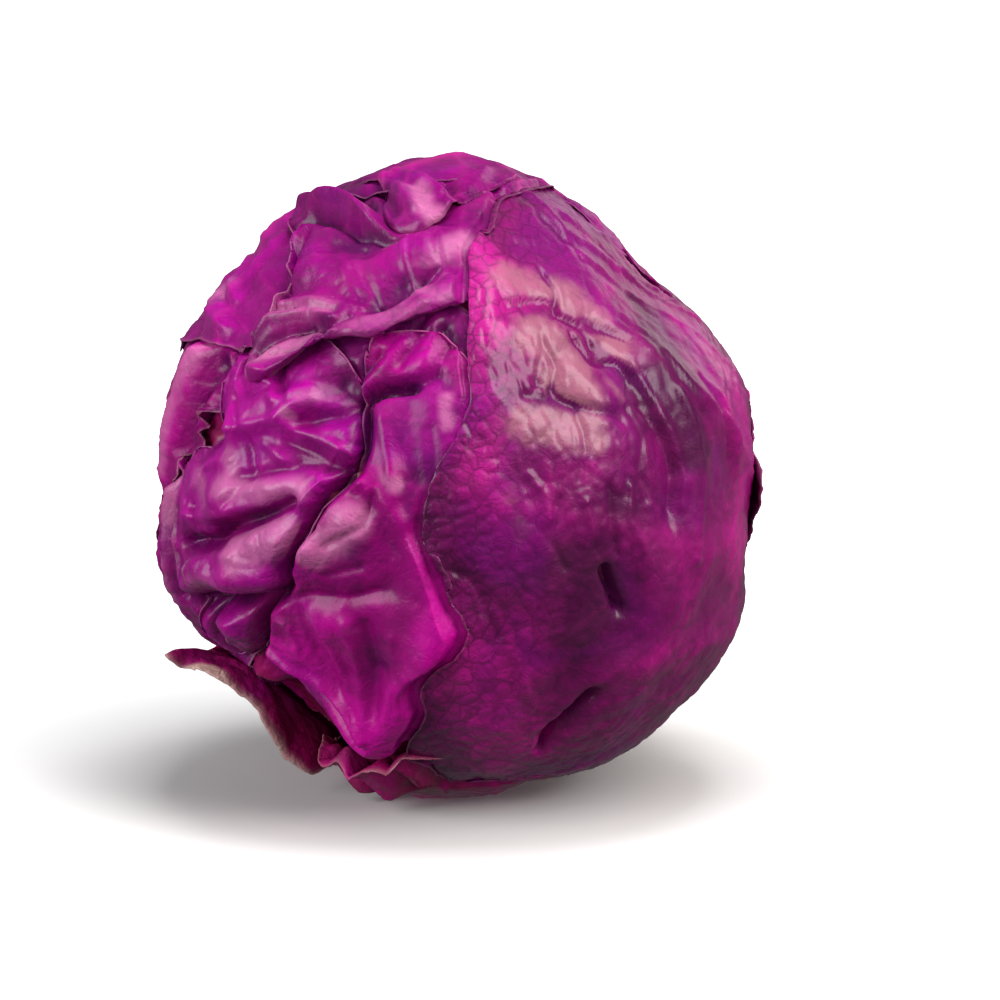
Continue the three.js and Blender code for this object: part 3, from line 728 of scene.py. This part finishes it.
class Graph:
    """One material's node tree."""

    def __init__(self, name: str) -> None:
        """Starts an empty material."""
        self.material = bpy.data.materials.new(name)
        self.material.use_nodes = True
        self.tree = self.material.node_tree
        self.tree.nodes.clear()

    def node(
        self, kind: str, settings: dict | None = None, sockets: dict | None = None
    ) -> bpy.types.Node:
        """Adds a node.

        Args:
            kind: The node's type.
            settings: Its properties, with a ramp's stops under "stops".
            sockets: Values or signals for its inputs, by name or number.

        Returns:
            The node.
        """
        made = self.tree.nodes.new(kind)
        for key, value in (settings or {}).items():
            if key == "stops":
                ramp = made.color_ramp.elements
                while len(ramp) < len(value):
                    ramp.new(0.5)
                for stop, (place, colour) in zip(ramp, value):
                    stop.position = place
                    stop.color = (*colour, 1.0)
            else:
                setattr(made, key, value)
        for key, value in (sockets or {}).items():
            if isinstance(value, Signal):
                self.tree.links.new(value.socket, made.inputs[key])
            else:
                made.inputs[key].default_value = value
        return made

    def maths(self, operation: str, a: Signal | float, b: Signal | float) -> Signal:
        """Returns the result of a Math node."""
        made = self.node("ShaderNodeMath", {"operation": operation}, {0: a, 1: b})
        return Signal(self, made.outputs[0])

    def mix(self, share: Signal | float, a: Signal | Colour, b: Signal | Colour) -> Signal:
        """Mixes two colours.

        Args:
            share: How much of the second colour shows.
            a: The first colour.
            b: The second colour.

        Returns:
            The mixed colour.
        """
        a, b = (c if isinstance(c, Signal) else (*c, 1.0) for c in (a, b))
        made = self.node("ShaderNodeMix", {"data_type": "RGBA"}, {0: share, 6: a, 7: b})
        return Signal(self, made.outputs[2])

    def attribute(self, name: str) -> Signal:
        """Returns one of the piece's own attributes."""
        made = self.node("ShaderNodeAttribute", {"attribute_name": name})
        return Signal(self, made.outputs["Fac"])

    def place(self) -> Signal:
        """Returns the Object coordinates."""
        return Signal(self, self.node("ShaderNodeTexCoord").outputs["Object"])

    def cloud(self, place: Signal, scale: float, detail: float = 3.0, warp: float = 0.0) -> Signal:
        """Returns noise of a scale per metre, from 0 to 1."""
        made = self.node(
            "ShaderNodeTexNoise",
            {"noise_dimensions": "3D"},
            {"Vector": place, "Scale": scale, "Detail": detail, "Distortion": warp},
        )
        return Signal(self, made.outputs["Fac"])

    def border(self, place: Signal, scale: float) -> Signal:
        """Returns the distance to the border of irregular cells, in cells."""
        made = self.node(
            "ShaderNodeTexVoronoi",
            {"feature": "DISTANCE_TO_EDGE"},
            {"Vector": place, "Scale": scale, "Randomness": 1.0},
        )
        return Signal(self, made.outputs["Distance"])

    def bumped(self, height: Signal, depth: float, under: Signal | None = None) -> Signal:
        """Returns a normal bent by a height map, depth in metres for a height of 1."""
        sockets = {"Height": height, "Distance": depth, "Strength": 1.0}
        if under is not None:
            sockets["Normal"] = under
        return Signal(self, self.node("ShaderNodeBump", {}, sockets).outputs["Normal"])

    def finish(self, sockets: dict) -> bpy.types.Material:
        """Closes the tree with a Principled shader.

        Args:
            sockets: Values or signals for the shader's inputs.

        Returns:
            The material.
        """
        shader = self.node("ShaderNodeBsdfPrincipled", {}, sockets)
        self.node("ShaderNodeOutputMaterial", {}, {"Surface": Signal(self, shader.outputs[0])})
        return self.material


@dataclass(frozen=True)
class LeafFinish:
    """The colours and gloss of a red cabbage leaf."""

    name: str
    deep: Colour = (0.08, 0.001, 0.065)
    mid: Colour = (0.2, 0.0, 0.125)
    bright: Colour = (0.36, 0.0, 0.235)
    rib: Colour = (0.55, 0.01, 0.26)
    pale: Colour = (0.5, 0.22, 0.3)
    pale_and_sheen_colour: Colour = (0.52, 0.15, 0.33)
    wax: float = 0.65
    pale_and_sheen_edge: tuple[float, float] = (0.08, 0.5)
    violet: Colour = (0.2, 0.0, 0.2)
    net_colour: Colour = (0.022, 0.001, 0.014)
    net: float = 0.7
    net_scale: float = 240.0
    bloom: float = 0.03
    roughness: float = 0.38
    coat: float = 0.52
    coat_roughness: float = 0.33
    wrinkles: float = 0.00006

    def build(self) -> bpy.types.Material:
        """Builds the leaf's material.

        Returns:
            The material.
        """
        g = Graph(self.name)
        place = g.place()
        tone = g.attribute("tone")
        wide = g.cloud(place, 26.0, 3.0, 0.4)
        fine = g.cloud(place, 130.0, 4.0, 0.6)
        grain = g.cloud(place, 700.0, 3.0)
        level = tone + (wide - 0.5) * 1.5 + (fine - 0.5) * 0.7
        colour = g.mix(level.rise(0.1, 0.55), self.deep, self.mid)
        colour = g.mix(level.rise(0.5, 1.05), colour, self.bright)
        tint = g.cloud(place, 38.0, 2.0, 0.6).rise(0.5, 0.7) * 0.3
        colour = g.mix(tint, colour, self.violet)
        coarse = g.border(place, self.net_scale)
        small = g.border(place, self.net_scale * 2.6)
        lines = 1.0 - coarse.rise(0.0, 0.11)
        lesser = 1.0 - small.rise(0.0, 0.08)
        here = g.attribute("net")
        mesh = (lines * 0.9 + lesser * 0.35) * here * self.net
        colour = g.mix(mesh, colour, self.net_colour)
        colour = g.mix(g.attribute("vein") * 0.75, colour, self.rib)
        dust = g.cloud(place, 60.0, 5.0, 0.8).rise(0.42, 0.8) * self.bloom
        colour = g.mix(dust, colour, self.pale)
        # Pale-and-sheen patches: mostly painted sheen and highlights, a few the leaf's own pale
        # rib.
        patch = g.attribute("wax") * (0.3 + 1.4 * g.cloud(place, 180.0, 5.0, 0.5))
        colour = g.mix(patch.rise(*self.pale_and_sheen_edge) * self.wax, colour, self.pale_and_sheen_colour)
        # The edge mark paints a pale rim: partly the margin's own paler colour, partly a painted
        # highlight.
        colour = g.mix(g.attribute("edge"), colour, self.pale)
        rough = self.roughness + (fine - 0.5) * 0.16 + dust * 0.5 + lines * here * 0.1
        domes = coarse.rise(0.0, 0.35) * here * 1.4 + small.rise(0.0, 0.3) * here * 0.35
        wrinkle = g.cloud(place, 210.0, 2.0, 1.2)
        crease = abs(wrinkle - 0.5).rise(0.0, 0.12)
        normal = g.bumped(grain * 0.3 + fine, 0.0002)
        normal = g.bumped(crease, self.wrinkles, normal)
        normal = g.bumped(domes, 0.0002, normal)
        return g.finish({
            "Base Color": colour,
            "Roughness": rough,
            "Normal": normal,
            "Coat Weight": self.coat,
            "Coat Roughness": self.coat_roughness,
            "Coat IOR": 1.5,
            "IOR": 1.45,
            "Specular IOR Level": 0.12,
        })


@dataclass(frozen=True)
class StalkFinish:
    """The pale cut end of the stalk and its browning skin."""

    name: str = "stalk_flesh"
    flesh: Colour = (0.66, 0.56, 0.36)
    skin: Colour = (0.42, 0.18, 0.26)
    dried: Colour = (0.26, 0.14, 0.07)

    def build(self) -> bpy.types.Material:
        """Builds the stalk's material.

        Returns:
            The material.
        """
        g = Graph(self.name)
        place = g.place()
        mottle = g.cloud(place, 180.0, 5.0, 0.5)
        fibre = g.cloud(place, 900.0, 3.0)
        colour = g.mix(mottle.rise(0.45, 0.75) * 0.6, self.flesh, self.dried)
        colour = g.mix(g.attribute("edge"), colour, self.skin)
        return g.finish({
            "Base Color": colour,
            "Roughness": 0.6 + (mottle - 0.5) * 0.2,
            "Normal": g.bumped(mottle + fibre * 0.5, 0.0004),
        })


class Gloss(Enum):
    """The finishes that the leaves share."""

    WRAPPER = LeafFinish("wrapper_leaf", deep=(0.07, 0.001, 0.045), mid=(0.16, 0.002, 0.092),
                         bright=(0.4, 0.006, 0.2), pale_and_sheen_colour=(0.36, 0.135, 0.18), wax=0.62,
                         pale_and_sheen_edge=(0.18, 0.44), net=0.62, coat=0.66,
                         coat_roughness=0.25, wrinkles=0.00006)
    CRUMPLED = LeafFinish("crumpled_leaf", net=0.3)
    RIBBED = LeafFinish("ribbed_leaf", mid=(0.26, 0.0, 0.14), bright=(0.5, 0.0, 0.27), net=0.12,
                        coat=0.36)
    SHADED = LeafFinish("shaded_leaf", deep=(0.13, 0.001, 0.035), mid=(0.26, 0.002, 0.08),
                        bright=(0.4, 0.004, 0.16), pale=(0.66, 0.44, 0.4), pale_and_sheen_colour=(0.66, 0.42, 0.36),
                        wax=0.9, net=0.15, coat=0.35, coat_roughness=0.24)


def meshed(bm: bmesh.types.BMesh, name: str) -> bpy.types.Mesh:
    """Turns a bmesh into a mesh, and frees it."""
    mesh = bpy.data.meshes.new(name)
    bm.to_mesh(mesh)
    bm.free()
    return mesh


def points_of(mesh: bpy.types.Mesh) -> Array:
    """Returns a mesh's vertices, one a row."""
    flat = np.empty(len(mesh.vertices) * 3)
    mesh.vertices.foreach_get("co", flat)
    return flat.reshape(-1, 3)


def add_piece(
    mesh: bpy.types.Mesh, marks: dict, material: bpy.types.Material, stands_for: str
) -> bpy.types.Object:
    """Puts a mesh in the scene as a piece of the head.

    Args:
        mesh: Its shape, in metres.
        marks: What its material reads, a value for each vertex.
        material: Its finish.
        stands_for: The solid that it replaces.

    Returns:
        The piece.
    """
    for key, values in marks.items():
        mesh.attributes.new(key, "FLOAT", "POINT").data.foreach_set("value", values)
    mesh.materials.append(material)
    mesh.shade_smooth()
    piece = bpy.data.objects.new(mesh.name, mesh)
    bpy.context.scene.collection.objects.link(piece)
    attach(piece, "root")
    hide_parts(stands_for)
    log.info("%s: %d faces", piece.name, len(mesh.polygons))
    return piece


@dataclass(frozen=True)
class Leaf:
    """A leaf's dressed piece: its form and finish, what it stands for, and its tone."""

    RUFFLE_FADE = 6.0
    NET_FADE = 22.0
    RIM_WIDTH = 0.6
    SEAM_SHARE = 0.22
    SEAM_SHADE = 0.06
    HEIGHT_SHADE = 0.09
    CUT_FADE = 3.0
    INWARD_ROLL = -0.6

    form: LeafForm
    gloss: Gloss
    tone: float
    slot: str = "outer_leaf"
    stands_for: str = ""

    def build(self, materials: Materials) -> None:
        """Builds the leaf and puts it in the scene.

        Args:
            materials: The built finishes by name.
        """
        form = self.form
        bm = bmesh.new()
        bmesh.ops.create_grid(bm, x_segments=form.segments, y_segments=form.segments, size=1.0)
        mesh = meshed(bm, f"{form.name}_skin")
        places, marks = self.shape(points_of(mesh)[:, :2])
        mesh.vertices.foreach_set("co", (places * MM).ravel())
        finish = materials[self.gloss.value.name]
        piece = add_piece(mesh, marks, finish, self.stands_for or form.name)
        wall = piece.modifiers.new("wall", "SOLIDIFY")
        wall.thickness = form.thickness * MM
        wall.offset = -1.0

    def shape(self, square: Array) -> tuple[Array, dict[str, Array]]:
        """Lays the flat grid on the head.

        Args:
            square: The grid's points, each from -1 to 1.

        Returns:
            The places in mm, and the marks that the material reads.
        """
        form = self.form
        disc = square * np.sqrt(1.0 - square[:, ::-1] ** 2 / 2.0)
        spare = 1.0 - np.minimum(1.0, (disc**2).sum(axis=1))
        disc = disc + spare[:, None] * np.array(form.bias)
        share = np.minimum(1.0, np.hypot(disc[:, 0], disc[:, 1]))
        bearing = np.degrees(np.arctan2(disc[:, 0], disc[:, 1])) % 360.0
        rim = self.rim_noise(bearing)
        reach = closed_curve(form.reach, bearing) + np.degrees(rim / FRONT_RADIUS)
        dirs, outward = self.on_head(bearing, share * reach)
        margin = np.radians((1.0 - share) * reach) * FRONT_RADIUS
        dirs, hole = self.clear_of_stalk(dirs)
        radius, marks = self.work(dirs, form.wanted(dirs), margin)
        radius = np.minimum(radius, ceiling_over(STACK.index(form), dirs))
        places = dirs * radius[:, None]
        places = self.curl(places, dirs, outward, margin, bearing, rim)
        places[:, 2] = np.maximum(places[:, 2] + CENTRE_HEIGHT, 0.0)
        cut = 0.5 * np.exp(-(hole - STALK_HOLE) / self.CUT_FADE)
        marks["edge"] = np.maximum(marks["edge"], cut)
        return places, marks

    def on_head(self, bearing: Array, arc: Array) -> tuple[Array, Array]:
        """Turns bearing and arc into directions.

        Args:
            bearing: Degrees clockwise from the top.
            arc: Degrees from the leaf's middle.

        Returns:
            The unit vectors, and at each the unit vector that leads away from the middle.
        """
        form = self.form
        b, a = np.radians(bearing), np.radians(arc)
        heading = np.outer(np.sin(b), form.east) + np.outer(np.cos(b), form.north)
        dirs = np.cos(a)[:, None] * form.middle + np.sin(a)[:, None] * heading
        outward = -np.sin(a)[:, None] * form.middle + np.cos(a)[:, None] * heading
        return dirs, outward

    def rim_noise(self, bearing: Array) -> Array:
        """Returns how far the ragged margin strays at bearings, in mm."""
        form, s = self.form, self.form.surface
        length = np.radians(closed_curve(form.reach, bearing).mean()) * FRONT_RADIUS
        b = np.radians(bearing)
        ring = np.stack([np.sin(b), np.cos(b), np.zeros_like(b)], axis=1) * length
        slow = lumps(ring, s.ragged_size * 2.4, form.seed + 40)
        quick = lumps(ring, s.ragged_size * 0.7, form.seed + 41)
        return s.ragged * (1.4 * slow + 0.7 * quick)

    def clear_of_stalk(self, dirs: Array) -> tuple[Array, Array]:
        """Draws the leaf's base back from the stalk.

        Args:
            dirs: Unit vectors.

        Returns:
            The moved unit vectors, and their distances from the stalk's axis in mm.
        """
        hole = distance_from(STALK_AXIS, dirs)
        close = hole < STALK_HOLE
        side = dirs - np.outer(dirs @ STALK_AXIS, STALK_AXIS)
        side /= np.maximum(np.linalg.norm(side, axis=1), 1e-6)[:, None]
        angle = STALK_HOLE / FRONT_RADIUS
        moved = math.cos(angle) * STALK_AXIS + math.sin(angle) * side
        return np.where(close[:, None], moved, dirs), np.where(close, STALK_HOLE, hole)

    def work(self, dirs: Array, radius: Array, margin: Array) -> tuple[Array, dict[str, Array]]:
        """Adds creases, veins, puckers and crumpling.

        Args:
            dirs: Unit vectors.
            radius: Outer radii in mm.
            margin: Distances to the margin in mm.

        Returns:
            The worked radii, and the marks that the material reads.
        """
        form, s = self.form, self.form.surface
        skin = dirs * FRONT_RADIUS
        deep = raised(np.zeros(len(dirs)), form.relief, dirs)
        deep = deep + form.crumpled(dirs)
        border = cells(skin, s.puff_size, form.seed)
        seam = np.exp(-((border / (self.SEAM_SHARE * s.puff_size)) ** 2))
        radius = radius + s.puff * (1.0 - 1.6 * seam)
        ribs, veins = self.veins(dirs)
        radius = radius + s.midrib * ribs + s.vein * veins
        wave = lumps(skin, s.ruffle_size, form.seed + 60)
        radius = radius + s.ruffle * wave * np.exp(-margin / self.RUFFLE_FADE) * 1.6
        # The tone paints shade: darker in the valleys of the folds and along the puff seams,
        # lighter on the ridges.
        height = np.clip(deep, -4.0, 2.0)
        tone = self.tone - self.SEAM_SHADE * seam + self.HEIGHT_SHADE * height
        # Pale-and-sheen patches are mostly painted sheen and highlights, a few the leaf's own pale
        # rib; creases cut them.
        wax = np.zeros(len(dirs))
        for patch in form.pale_and_sheen_patches:
            wax = np.maximum(wax, patch.at(dirs))
        wax = wax * np.clip(1.0 + np.minimum(deep + 0.3, 0.0) / 1.2, 0.0, 1.0)
        marks = {
            # The tone also takes the blush-and-shading patches, partly painted light and shade.
            "tone": raised(tone, form.blush_and_shading, dirs),
            "vein": np.clip(s.midrib * ribs + 1.2 * s.vein * veins, 0.0, 0.9),
            # The edge mark paints a pale rim: partly the margin's own paler colour, partly a
            # painted highlight.
            "edge": form.rim * np.exp(-((margin / self.RIM_WIDTH) ** 2)),
            "wax": wax,
            "net": np.clip(0.15 + 0.85 * np.exp(-margin / self.NET_FADE), 0.0, 1.0),
        }
        return radius, marks

    def veins(self, dirs: Array) -> tuple[Array, Array]:
        """Draws the midrib and the side veins that branch from it.

        Args:
            dirs: Unit vectors.

        Returns:
            The midrib's and the side veins' profiles, each from 0 to 1.
        """
        form, s = self.form, self.form.surface
        arc = distance_from(form.middle, dirs)
        turn = np.radians(form.bearings(dirs)) - form.stalk_bearing - math.pi
        along, across = arc * np.cos(turn), arc * np.sin(turn)
        bend = 4.0 * lumps(dirs * FRONT_RADIUS, 30.0, form.seed + 80)
        across = across + bend
        taper = smoothstep(110.0, -60.0, along)
        rib = np.exp(-((across / (1.2 + 4.0 * taper)) ** 2)) * (0.25 + 0.75 * taper)
        side = np.where(across > 0.0, 0.5, 0.0)
        phase = (along - 1.15 * np.abs(across) ** 0.95 + bend) / s.vein_spacing + side
        off = (phase - np.round(phase)) * s.vein_spacing
        vein = np.exp(-((off / (0.7 + 0.8 * taper)) ** 2)) * (0.35 + 0.65 * taper)
        return rib, vein * (1.0 - rib)

    def curl(
        self, places: Array, dirs: Array, outward: Array, margin: Array, bearing: Array, rim: Array
    ) -> Array:
        """Rolls the margin over where the leaf curls.

        Args:
            places: Places from the head's centre in mm.
            dirs: Their unit vectors.
            outward: The way to the margin at each.
            margin: Distances to the margin in mm.
            bearing: Bearings in degrees.
            rim: The margin's noise, which varies the roll.

        Returns:
            The rolled places.
        """
        for roll in self.form.curls:
            share = roll.share(bearing) * np.clip(0.75 + 0.5 * rim, 0.25, 1.4)
            past = np.maximum(0.0, roll.width - margin)
            angle = np.radians(roll.turn) * share * past / roll.width
            bend = np.maximum(angle / np.maximum(past, 1e-6), 1e-5)
            sideways = np.sin(angle) / bend - past
            rise = (1.0 - np.cos(angle)) / bend
            if not roll.outward:
                rise = self.INWARD_ROLL * rise
            live = (past > 0.0)[:, None]
            shift = outward * sideways[:, None] + dirs * rise[:, None]
            places = places + np.where(live, shift, 0.0)
        return places


@dataclass(frozen=True)
class InnerHead:
    """The tight ball of inner leaves under the wrapper leaves, flattened behind the stalk."""

    sunk: float = 3.0
    gap: float = 1.0
    detail: int = 6
    seat_width: float = 24.0
    seat_height: float = 62.0
    hollows: tuple[Fold, ...] = folds("-6 11 -60,-42 -50,-48; -5 9 -9,35 -15,33")

    def build(self, materials: Materials) -> None:
        """Builds the ball.

        Args:
            materials: The built finishes by name.
        """
        bm = bmesh.new()
        bmesh.ops.create_icosphere(bm, subdivisions=self.detail, radius=1.0)
        mesh = meshed(bm, "inner_ball")
        dirs = points_of(mesh)
        dirs = dirs / np.linalg.norm(dirs, axis=1)[:, None]
        radius = raised(head_radius(dirs) - self.sunk, self.hollows, dirs)
        radius = np.minimum(radius, ceiling_over(-1, dirs) - self.gap)
        seat = dirs @ STALK_AXIS
        behind = seat > math.cos(math.radians(self.seat_width))
        cut = np.where(behind, self.seat_height / np.maximum(seat, 0.5), 1e3)
        places = dirs * np.minimum(radius, cut)[:, None]
        places[:, 2] += CENTRE_HEIGHT
        mesh.vertices.foreach_set("co", (places * MM).ravel())
        plain_marks = {"tone": 0.25, "net": 0.4, "vein": 0.0, "edge": 0.0, "wax": 0.0}
        marks = {key: np.full(len(dirs), value) for key, value in plain_marks.items()}
        finish = materials[Gloss.SHADED.value.name]
        add_piece(mesh, marks, finish, "inner_head")


@dataclass(frozen=True)
class Stalk:
    """The stalk, cut off just proud of the leaf bases."""

    radius: float = 14.5
    length: float = 13.0
    cut_at: float = 76.0
    sides: int = 96
    rings: tuple[float, ...] = (1.2, 1.5, 3.0, 3.5, 2.5)
    waver: float = 0.035
    rounding: float = 0.04
    skin_from: float = 0.86

    def build(self, materials: Materials) -> None:
        """Builds the stalk.

        Args:
            materials: The built finishes by name.
        """
        bm = bmesh.new()
        bmesh.ops.create_cone(
            bm, cap_ends=True, segments=self.sides, radius1=self.radius, radius2=self.radius,
            depth=self.length,
        )
        cut_face = max(bm.faces, key=lambda f: f.calc_center_median().z)
        for width in self.rings:
            bmesh.ops.inset_region(bm, faces=[cut_face], thickness=width)
        walls = [e for e in bm.edges if abs(e.verts[0].co.z - e.verts[1].co.z) > 1.0]
        bmesh.ops.subdivide_edges(bm, edges=walls, cuts=12, use_grid_fill=True)
        axis = Vector(STALK_AXIS)
        turn = Vector((0, 0, 1)).rotation_difference(axis).to_matrix()
        middle = axis * (self.cut_at - self.length / 2.0) + Vector((0, 0, CENTRE_HEIGHT))
        edge = []
        for v in bm.verts:
            out = math.hypot(v.co.x, v.co.y) / self.radius
            high = v.co.z / (self.length / 2.0)
            lump = noise.fractal(v.co * 0.18, 1.0, 2.0, 4)
            rounded = self.rounding * max(0.0, high) ** 6 * (out > 0.95)
            v.co.x *= 1.0 + self.waver * lump - rounded
            v.co.y *= 1.0 + self.waver * lump - rounded
            if high > 0.99:
                v.co.z += 0.35 * lump - 0.5 * (1.0 - out)
            edge.append(float(np.clip((out - self.skin_from) / 0.12, 0.0, 1.0)))
            v.co = turn @ v.co + middle
        bmesh.ops.recalc_face_normals(bm, faces=bm.faces)
        bmesh.ops.scale(bm, vec=(MM, MM, MM), verts=bm.verts)
        mesh = meshed(bm, "stalk_cut")
        add_piece(mesh, {"edge": edge}, materials["stalk_flesh"], "stalk")


@dataclass(frozen=True)
class SoftLight:
    """A rectangular soft light that looks at the head."""

    name: str
    towards: tuple[float, float, float]
    distance: float
    width: float
    height: float
    power: float
    colour: Colour = (1.0, 1.0, 1.0)
    shines: bool = True

    def place(self) -> None:
        """Puts the light in the scene."""
        lamp = bpy.data.lights.new(self.name, "AREA")
        lamp.shape = "RECTANGLE"
        lamp.size = self.width
        lamp.size_y = self.height
        lamp.energy = self.power
        lamp.color = self.colour
        held = bpy.data.objects.new(self.name, lamp)
        way = Vector(self.towards).normalized()
        held.location = way * self.distance + Vector((0, 0, CENTRE_HEIGHT * MM))
        held.rotation_euler = way.to_track_quat("Z", "Y").to_euler()
        held.visible_glossy = self.shines
        bpy.context.scene.collection.objects.link(held)


@dataclass
class Studio:
    """The camera, the lights and the pale floor."""

    lens: float = 300.0
    distance: float = 2.084
    aside: float = 0.0105
    below: float = 0.00625
    lights: tuple[SoftLight, ...] = (
        SoftLight("window", (0.55, -0.42, 0.72), 1.4, 0.75, 1.3, 18.0, (1.0, 0.96, 0.92)),
        SoftLight("right_fill", (0.9, -0.4, 0.3), 1.4, 0.8, 0.8, 8.0, (1.0, 0.92, 0.9), False),
        SoftLight("left_box", (-0.82, -0.46, 0.3), 1.4, 0.9, 1.0, 17.0),
        SoftLight("rear_strip", (0.5, 0.8, 0.3), 1.2, 0.7, 0.6, 1.2, (1.0, 0.85, 0.82)),
        SoftLight("overhead", (0.1, 0.0, 1.0), 1.2, 0.5, 0.5, 13.0, shines=False),
        SoftLight("front_fill", (0.1, -1.0, 0.15), 1.6, 0.8, 0.3, 4.5, shines=False),
    )

    def build(self) -> None:
        """Sets up the whole studio."""
        scene = bpy.context.scene
        scene.view_settings.view_transform = "Standard"
        world = bpy.data.worlds.new("pale_room")
        world.use_nodes = True
        back = world.node_tree.nodes["Background"]
        back.inputs["Color"].default_value = (1.0, 1.0, 1.0, 1.0)
        back.inputs["Strength"].default_value = 0.12
        scene.world = world
        self.place_camera(scene)
        for light in self.lights:
            light.place()
        self.lay_floor()

    def place_camera(self, scene: bpy.types.Scene) -> None:
        """Looks at the head from the front, a little above it."""
        lens = bpy.data.cameras.new("camera")
        lens.lens = self.lens
        lens.clip_end = 20.0
        camera = bpy.data.objects.new("camera", lens)
        aim = Vector((self.aside, 0.0, CENTRE_HEIGHT * MM)) - Vector(UPWARDS) * self.below
        camera.location = aim + Vector(TOWARDS) * self.distance
        camera.rotation_euler = Vector(TOWARDS).to_track_quat("Z", "Y").to_euler()
        scene.collection.objects.link(camera)
        scene.camera = camera

    def lay_floor(self) -> None:
        """Lays a wide pale floor, which glows more the farther it lies from the head."""
        bm = bmesh.new()
        bmesh.ops.create_grid(bm, x_segments=1, y_segments=1, size=6.0)
        mesh = meshed(bm, "floor")
        g = Graph("pale_floor")
        # The glow is painted light that keeps the floor white away from the head; near the head the
        # lamps alone light it, so its shadows show.
        spread = g.node("ShaderNodeVectorMath", {"operation": "LENGTH"}, {0: g.place()})
        far = Signal(g, spread.outputs["Value"]).rise(0.05, 0.32)
        mesh.materials.append(g.finish({
            "Base Color": (0.7, 0.7, 0.7, 1.0),
            "Roughness": 0.9,
            "Emission Color": g.mix(far, (0.0, 0.0, 0.0), (1.0, 1.0, 1.0)),
            "Emission Strength": 0.9,
        }))
        floor = bpy.data.objects.new("floor", mesh)
        floor.visible_glossy = False
        floor.visible_diffuse = False
        bpy.context.scene.collection.objects.link(floor)


LEAVES = (
    Leaf(CAVITY_TIP, Gloss.SHADED, 0.4, "inner_leaf", "inner_head"),
    Leaf(CROWN_TIP, Gloss.CRUMPLED, 0.5, "inner_leaf", "inner_head"),
    Leaf(LEFT_LEAF, Gloss.CRUMPLED, 0.5),
    Leaf(RIB_LEAF, Gloss.RIBBED, 0.34, "rib_leaf"),
    Leaf(CROWN_LEAF, Gloss.CRUMPLED, 0.74),
    Leaf(FAN_LEAF, Gloss.RIBBED, 0.68, "rib_leaf"),
    Leaf(SHOULDER_LEAF, Gloss.CRUMPLED, 0.54),
    Leaf(BROW_LEAF, Gloss.CRUMPLED, 0.46),
    Leaf(TORN_LEAF, Gloss.SHADED, 0.58),
    Leaf(UNDERSIDE_LEAF, Gloss.SHADED, 0.3),
    Leaf(RIGHT_LEAF, Gloss.WRAPPER, 0.5),
    Leaf(TOP_LEAF, Gloss.CRUMPLED, 0.54),
    Leaf(REAR_STUB_LEAF, Gloss.WRAPPER, 0.5),
    Leaf(RIGHT_STUB_LEAF, Gloss.WRAPPER, 0.5),
)


def main() -> None:
    """Builds the studio and the whole head."""
    Studio().build()
    materials = {gloss.value.name: gloss.value.build() for gloss in Gloss}
    materials["stalk_flesh"] = StalkFinish().build()
    InnerHead().build(materials)
    for leaf in LEAVES:
        leaf.build(materials)
    Stalk().build(materials)


if __name__ == "__main__":
    main()
